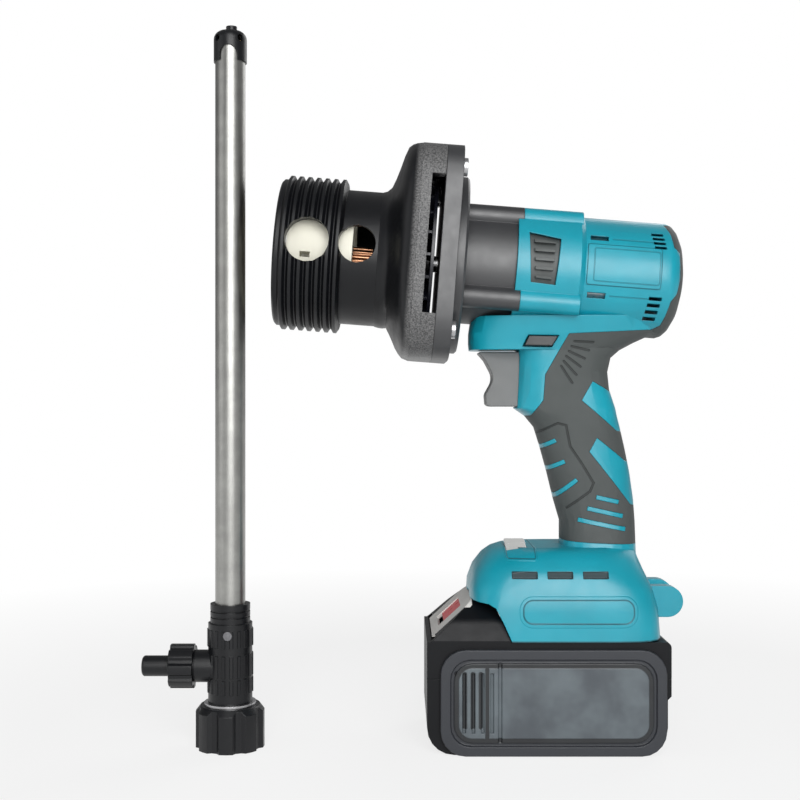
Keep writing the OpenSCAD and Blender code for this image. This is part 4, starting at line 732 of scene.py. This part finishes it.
class PUMP_OT_stage(Operator):
    """Makes the floor, the backdrop, the lights and the camera"""

    bl_idname = "pump.stage"
    bl_label = "Stage"

    def execute(self, context):
        scene = context.scene
        scene.view_settings.view_transform = "Standard"

        camera = bpy.data.objects.new("camera", bpy.data.cameras.new("camera"))
        scene.collection.objects.link(camera)
        camera.data.lens = CAMERA_LENS
        camera.data.sensor_width = CAMERA_SENSOR
        camera.data.clip_end = 20
        camera.location = CAMERA_PLACE
        camera.rotation_euler = (math.radians(90), 0, 0)
        scene.camera = camera

        work = bmesh.new()
        bmesh.ops.create_grid(work, x_segments=1, y_segments=1, size=FLOOR_HALF)
        mesh = bpy.data.meshes.new("floor")
        work.to_mesh(mesh)
        work.free()
        floor = bpy.data.objects.new("floor", mesh)
        scene.collection.objects.link(floor)
        mesh.materials.append(self.white_ground())

        world = bpy.data.worlds.new("studio")
        scene.world = world
        world.use_nodes = True
        tree = world.node_tree
        tree.nodes.clear()
        path = tree.nodes.new("ShaderNodeLightPath")
        seen = Wire(tree, path.outputs["Is Camera Ray"]).most(
            Wire(tree, path.outputs["Is Transmission Ray"])
        )
        near = Wire(tree, path.outputs["Is Glossy Ray"])
        background = tree.nodes.new("ShaderNodeBackground")
        background.inputs["Color"].default_value = (1, 1, 1, 1)
        feed(
            tree,
            (seen * WORLD_SEEN + near * WORLD_GLOSSY + WORLD_LIGHT).least(1.0),
            background.inputs["Strength"],
        )
        output = tree.nodes.new("ShaderNodeOutputWorld")
        tree.links.new(background.outputs[0], output.inputs["Surface"])

        for lamp in LAMPS:
            self.softbox(scene, *lamp)
        return {"FINISHED"}

    @staticmethod
    def softbox(scene, name, place, size, power):
        lamp = bpy.data.lights.new(name, "AREA")
        lamp.shape = "RECTANGLE"
        lamp.size, lamp.size_y = size
        lamp.energy = power
        box = bpy.data.objects.new(name, lamp)
        scene.collection.objects.link(box)
        box.location = place
        aim = LAMP_AIM - Vector(place)
        box.rotation_euler = aim.to_track_quat("-Z", "Y").to_euler()

    @staticmethod
    def white_ground():
        material = bpy.data.materials.new("white ground")
        material.use_nodes = True
        tree = material.node_tree
        tree.nodes.clear()
        path = tree.nodes.new("ShaderNodeLightPath")
        shown = Wire(tree, path.outputs["Is Camera Ray"])
        for ray in ("Is Glossy Ray", "Is Transmission Ray"):
            shown = shown.most(Wire(tree, path.outputs[ray]))
        place = tree.nodes.new("ShaderNodeTexCoord")
        reach = tree.nodes.new("ShaderNodeVectorMath")
        reach.operation = "LENGTH"
        tree.links.new(place.outputs["Object"], reach.inputs[0])
        distance = Wire(tree, reach.outputs["Value"])
        far = ((distance - FADE_START) / FADE_RUN).clamped()
        glow = tree.nodes.new("ShaderNodeEmission")
        glow.inputs["Color"].default_value = (1, 1, 1, 1)
        lit = tree.nodes.new("ShaderNodeBsdfDiffuse")
        lit.inputs["Color"].default_value = (0.9, 0.9, 0.9, 1)
        mix = tree.nodes.new("ShaderNodeMixShader")
        feed(tree, shown * (far * (1 - FLOOR_WHITE) + FLOOR_WHITE), mix.inputs[0])
        tree.links.new(lit.outputs[0], mix.inputs[1])
        tree.links.new(glow.outputs[0], mix.inputs[2])
        output = tree.nodes.new("ShaderNodeOutputMaterial")
        tree.links.new(mix.outputs[0], output.inputs["Surface"])
        return material


class PUMP_OT_housing(Operator):
    """Dresses the teal shells, their soft grips and the vent inserts"""

    bl_idname = "pump.housing"
    bl_label = "Housing"

    def execute(self, context):
        colours = context.scene.pump_colours
        shell = moulded(
            "teal moulding",
            colours.shell,
            rough=0.34,
            grain=0.004 * MM,
            edge=0.6 * MM,
            specular=0.6,
            marks=shell_marks,
        )
        for node in ("left_shell", "right_shell"):
            dress(node, shell, degrees=32)
        grip = moulded(
            "soft grip",
            colours.grip,
            rough=0.62,
            grain=0.02 * MM,
            grain_size=0.4 * MM,
            edge=0.5 * MM,
            mottle=0.05,
            specular=0.4,
            marks=grip_marks,
        )
        for node in ("left_grip", "right_grip"):
            dress(node, grip, degrees=32)
        vent = moulded("vent grey", colours.grip, rough=0.45, grain=0.01 * MM)
        for node in ("left_vent_insert", "right_vent_insert"):
            dress(node, vent, bevel=0.25 * MM)
        return {"FINISHED"}


class PUMP_OT_drive_head(Operator):
    """Dresses the nose, the bell, the collar and what shows inside them"""

    bl_idname = "pump.drive_head"
    bl_label = "Drive head"

    def execute(self, context):
        colours = context.scene.pump_colours
        grained = moulded(
            "grained black",
            colours.grained_black,
            rough=0.44,
            grain=0.03 * MM,
            specular=1.0,
        )
        drive = moulded(
            "drive housing black",
            colours.gloss_black,
            rough=0.38,
            grain=0.012 * MM,
            specular=0.35,
            marks=bell_marks,
        )
        dress("nose_housing", grained, bevel=context.scene.pump_sizes.edge)
        dress("drive_housing", drive)
        dress("rear_plate", grained, degrees=25, bevel=0.5 * MM)
        seat = moulded("cream moulding", colours.seat, rough=0.42, grain=0.006 * MM)
        dress("coupling_seat", seat, bevel=0.3 * MM)
        steel = metal("bright steel", BRIGHT_STEEL, rough=0.28)
        for node in ("plate_screws", "shell_screws", "motor_shaft", "front_bearing"):
            dress(node, steel, bevel=0.2 * MM)
        dress("drive_dog", metal("copper", COPPER, rough=0.32), bevel=0.3 * MM)
        fan = moulded("fan black", FAN_BLACK, rough=0.28)
        dress("cooling_fan", fan, bevel=0.2 * MM)
        return {"FINISHED"}


class PUMP_OT_controls(Operator):
    """Dresses the trigger, the direction selector and the indicator"""

    bl_idname = "pump.controls"
    bl_label = "Controls"

    def execute(self, context):
        trigger = moulded("trigger grey", TRIGGER_GREY, rough=0.5, grain=0.03 * MM)
        dress("trigger", trigger, bevel=0.9 * MM, segments=3)
        gloss = context.scene.pump_colours.gloss_black
        black = moulded("selector black", gloss, rough=0.35)
        dress("direction_selector", black, degrees=25, bevel=0.5 * MM)
        window = moulded("pale window", WINDOW_WHITE, rough=0.25)
        dress("indicator_lens", window, degrees=25, bevel=0.2 * MM)
        return {"FINISHED"}


class PUMP_OT_battery(Operator):
    """Dresses the battery pack and its release"""

    bl_idname = "pump.battery"
    bl_label = "Battery"

    def execute(self, context):
        colours = context.scene.pump_colours
        case = moulded(
            "battery case",
            colours.gloss_black,
            rough=0.42,
            grain=0.02 * MM,
            specular=0.22,
        )
        for node in ("battery_lower_case", "battery_upper_case"):
            dress(node, case, degrees=25, bevel=0.35 * MM)
        panel = moulded(
            "battery panel",
            PANEL_GREY,
            rough=0.40,
            grain=0.02 * MM,
            marks=panel_marks,
        )
        for node in ("left_side_panel", "right_side_panel"):
            dress(node, panel, degrees=25, bevel=0.5 * MM)
        bezel = moulded("pale bezel", BEZEL_WHITE, rough=0.32)
        dress("latch_bezel", bezel, degrees=25, bevel=0.3 * MM)
        red = moulded("red button", colours.button, rough=0.30)
        dress("release_button", red, degrees=25, bevel=0.4 * MM)
        dress("battery_screws", metal("case screw steel", SCREW_STEEL, rough=0.3))
        return {"FINISHED"}


class PUMP_OT_tube_unit(Operator):
    """Dresses the pump tube, its head, its nuts and its foot"""

    bl_idname = "pump.tube_unit"
    bl_label = "Pump tube"

    def execute(self, context):
        tube = metal("drawn aluminium", ALUMINIUM, rough=0.36, scratch=0.012 * MM)
        dress("outer_tube", tube, bevel=0.15 * MM)
        black = moulded(
            "fitting black",
            context.scene.pump_colours.gloss_black,
            rough=0.36,
            grain=0.006 * MM,
            specular=0.4,
        )
        for node in ("foot_cap", "tee_body", "outlet_nut", "hose_spigot", "swivel_nut"):
            dress(node, black, bevel=0.3 * MM)
        screw = metal("dark screw", DARK_STEEL, rough=0.35)
        dress("tee_screw", screw, bevel=0.1 * MM)
        return {"FINISHED"}


class PUMP_OT_inner_parts(Operator):
    """Finishes the pieces that the housings hide"""

    bl_idname = "pump.inner_parts"
    bl_label = "Inner parts"

    def execute(self, context):
        steel = metal("inner steel", INNER_STEEL, rough=0.32)
        dark = moulded("inner dark", INNER_DARK, rough=0.5)
        brass = metal("contact brass", BRASS, rough=0.30)
        copper = metal("commutator copper", COPPER, rough=0.30)
        board = moulded("board green", BOARD_GREEN, rough=0.35)
        wrap = moulded("cell wrap", CELL_BLUE, rough=0.3)
        seal = moulded("seal rubber", SEAL_BLACK, rough=0.7)
        cream = moulded("bush cream", BUSH_CREAM, rough=0.45)
        red = moulded("lead red", LEAD_RED, rough=0.45)
        finishes = {
            "nose_screws": steel,
            "motor_can": steel,
            "magnets": dark,
            "brush_holder": dark,
            "carbon_brushes": dark,
            "rear_bearing": steel,
            "middle_bearing": steel,
            "switch_body": dark,
            "control_board": board,
            "terminal_block": dark,
            "motor_leads": red,
            "armature": steel,
            "commutator": copper,
            "trigger_spring": steel,
            "battery_cells": wrap,
            "battery_board": board,
            "battery_terminals": brass,
            "latch_spring": steel,
            "outlet_seal": seal,
            "retaining_ring": steel,
            "shaft_seal": seal,
            "upper_bush": cream,
            "lower_bush": cream,
            "pump_shaft": steel,
            "impeller": brass,
            "driven_dog": steel,
        }
        for node, finish in finishes.items():
            recolour(node, finish)
        return {"FINISHED"}


class PUMP_PT_sidebar(Panel):
    """Sizes, colours and steps of the bucket pump"""

    bl_idname = "PUMP_PT_sidebar"
    bl_label = "Bucket Pump"
    bl_space_type = "VIEW_3D"
    bl_region_type = "UI"
    bl_category = "Bucket Pump"

    def draw(self, context):
        column = self.layout.column()
        for name in PumpColours.__annotations__:
            column.prop(context.scene.pump_colours, name)
        for name in PumpSizes.__annotations__:
            column.prop(context.scene.pump_sizes, name)
        for step in STEPS:
            column.operator(step.bl_idname)


STEPS = (
    PUMP_OT_stage,
    PUMP_OT_housing,
    PUMP_OT_drive_head,
    PUMP_OT_controls,
    PUMP_OT_battery,
    PUMP_OT_tube_unit,
    PUMP_OT_inner_parts,
)
CLASSES = (PumpColours, PumpSizes, *STEPS, PUMP_PT_sidebar)


def register():
    for cls in CLASSES:
        bpy.utils.register_class(cls)
    bpy.types.Scene.pump_colours = PointerProperty(type=PumpColours)
    bpy.types.Scene.pump_sizes = PointerProperty(type=PumpSizes)


def unregister():
    del bpy.types.Scene.pump_sizes
    del bpy.types.Scene.pump_colours
    for cls in reversed(CLASSES):
        bpy.utils.unregister_class(cls)


def main():
    register()
    bpy.ops.pump.stage()
    bpy.ops.pump.housing()
    bpy.ops.pump.drive_head()
    bpy.ops.pump.controls()
    bpy.ops.pump.battery()
    bpy.ops.pump.tube_unit()
    bpy.ops.pump.inner_parts()


if __name__ == "__main__":
    main()
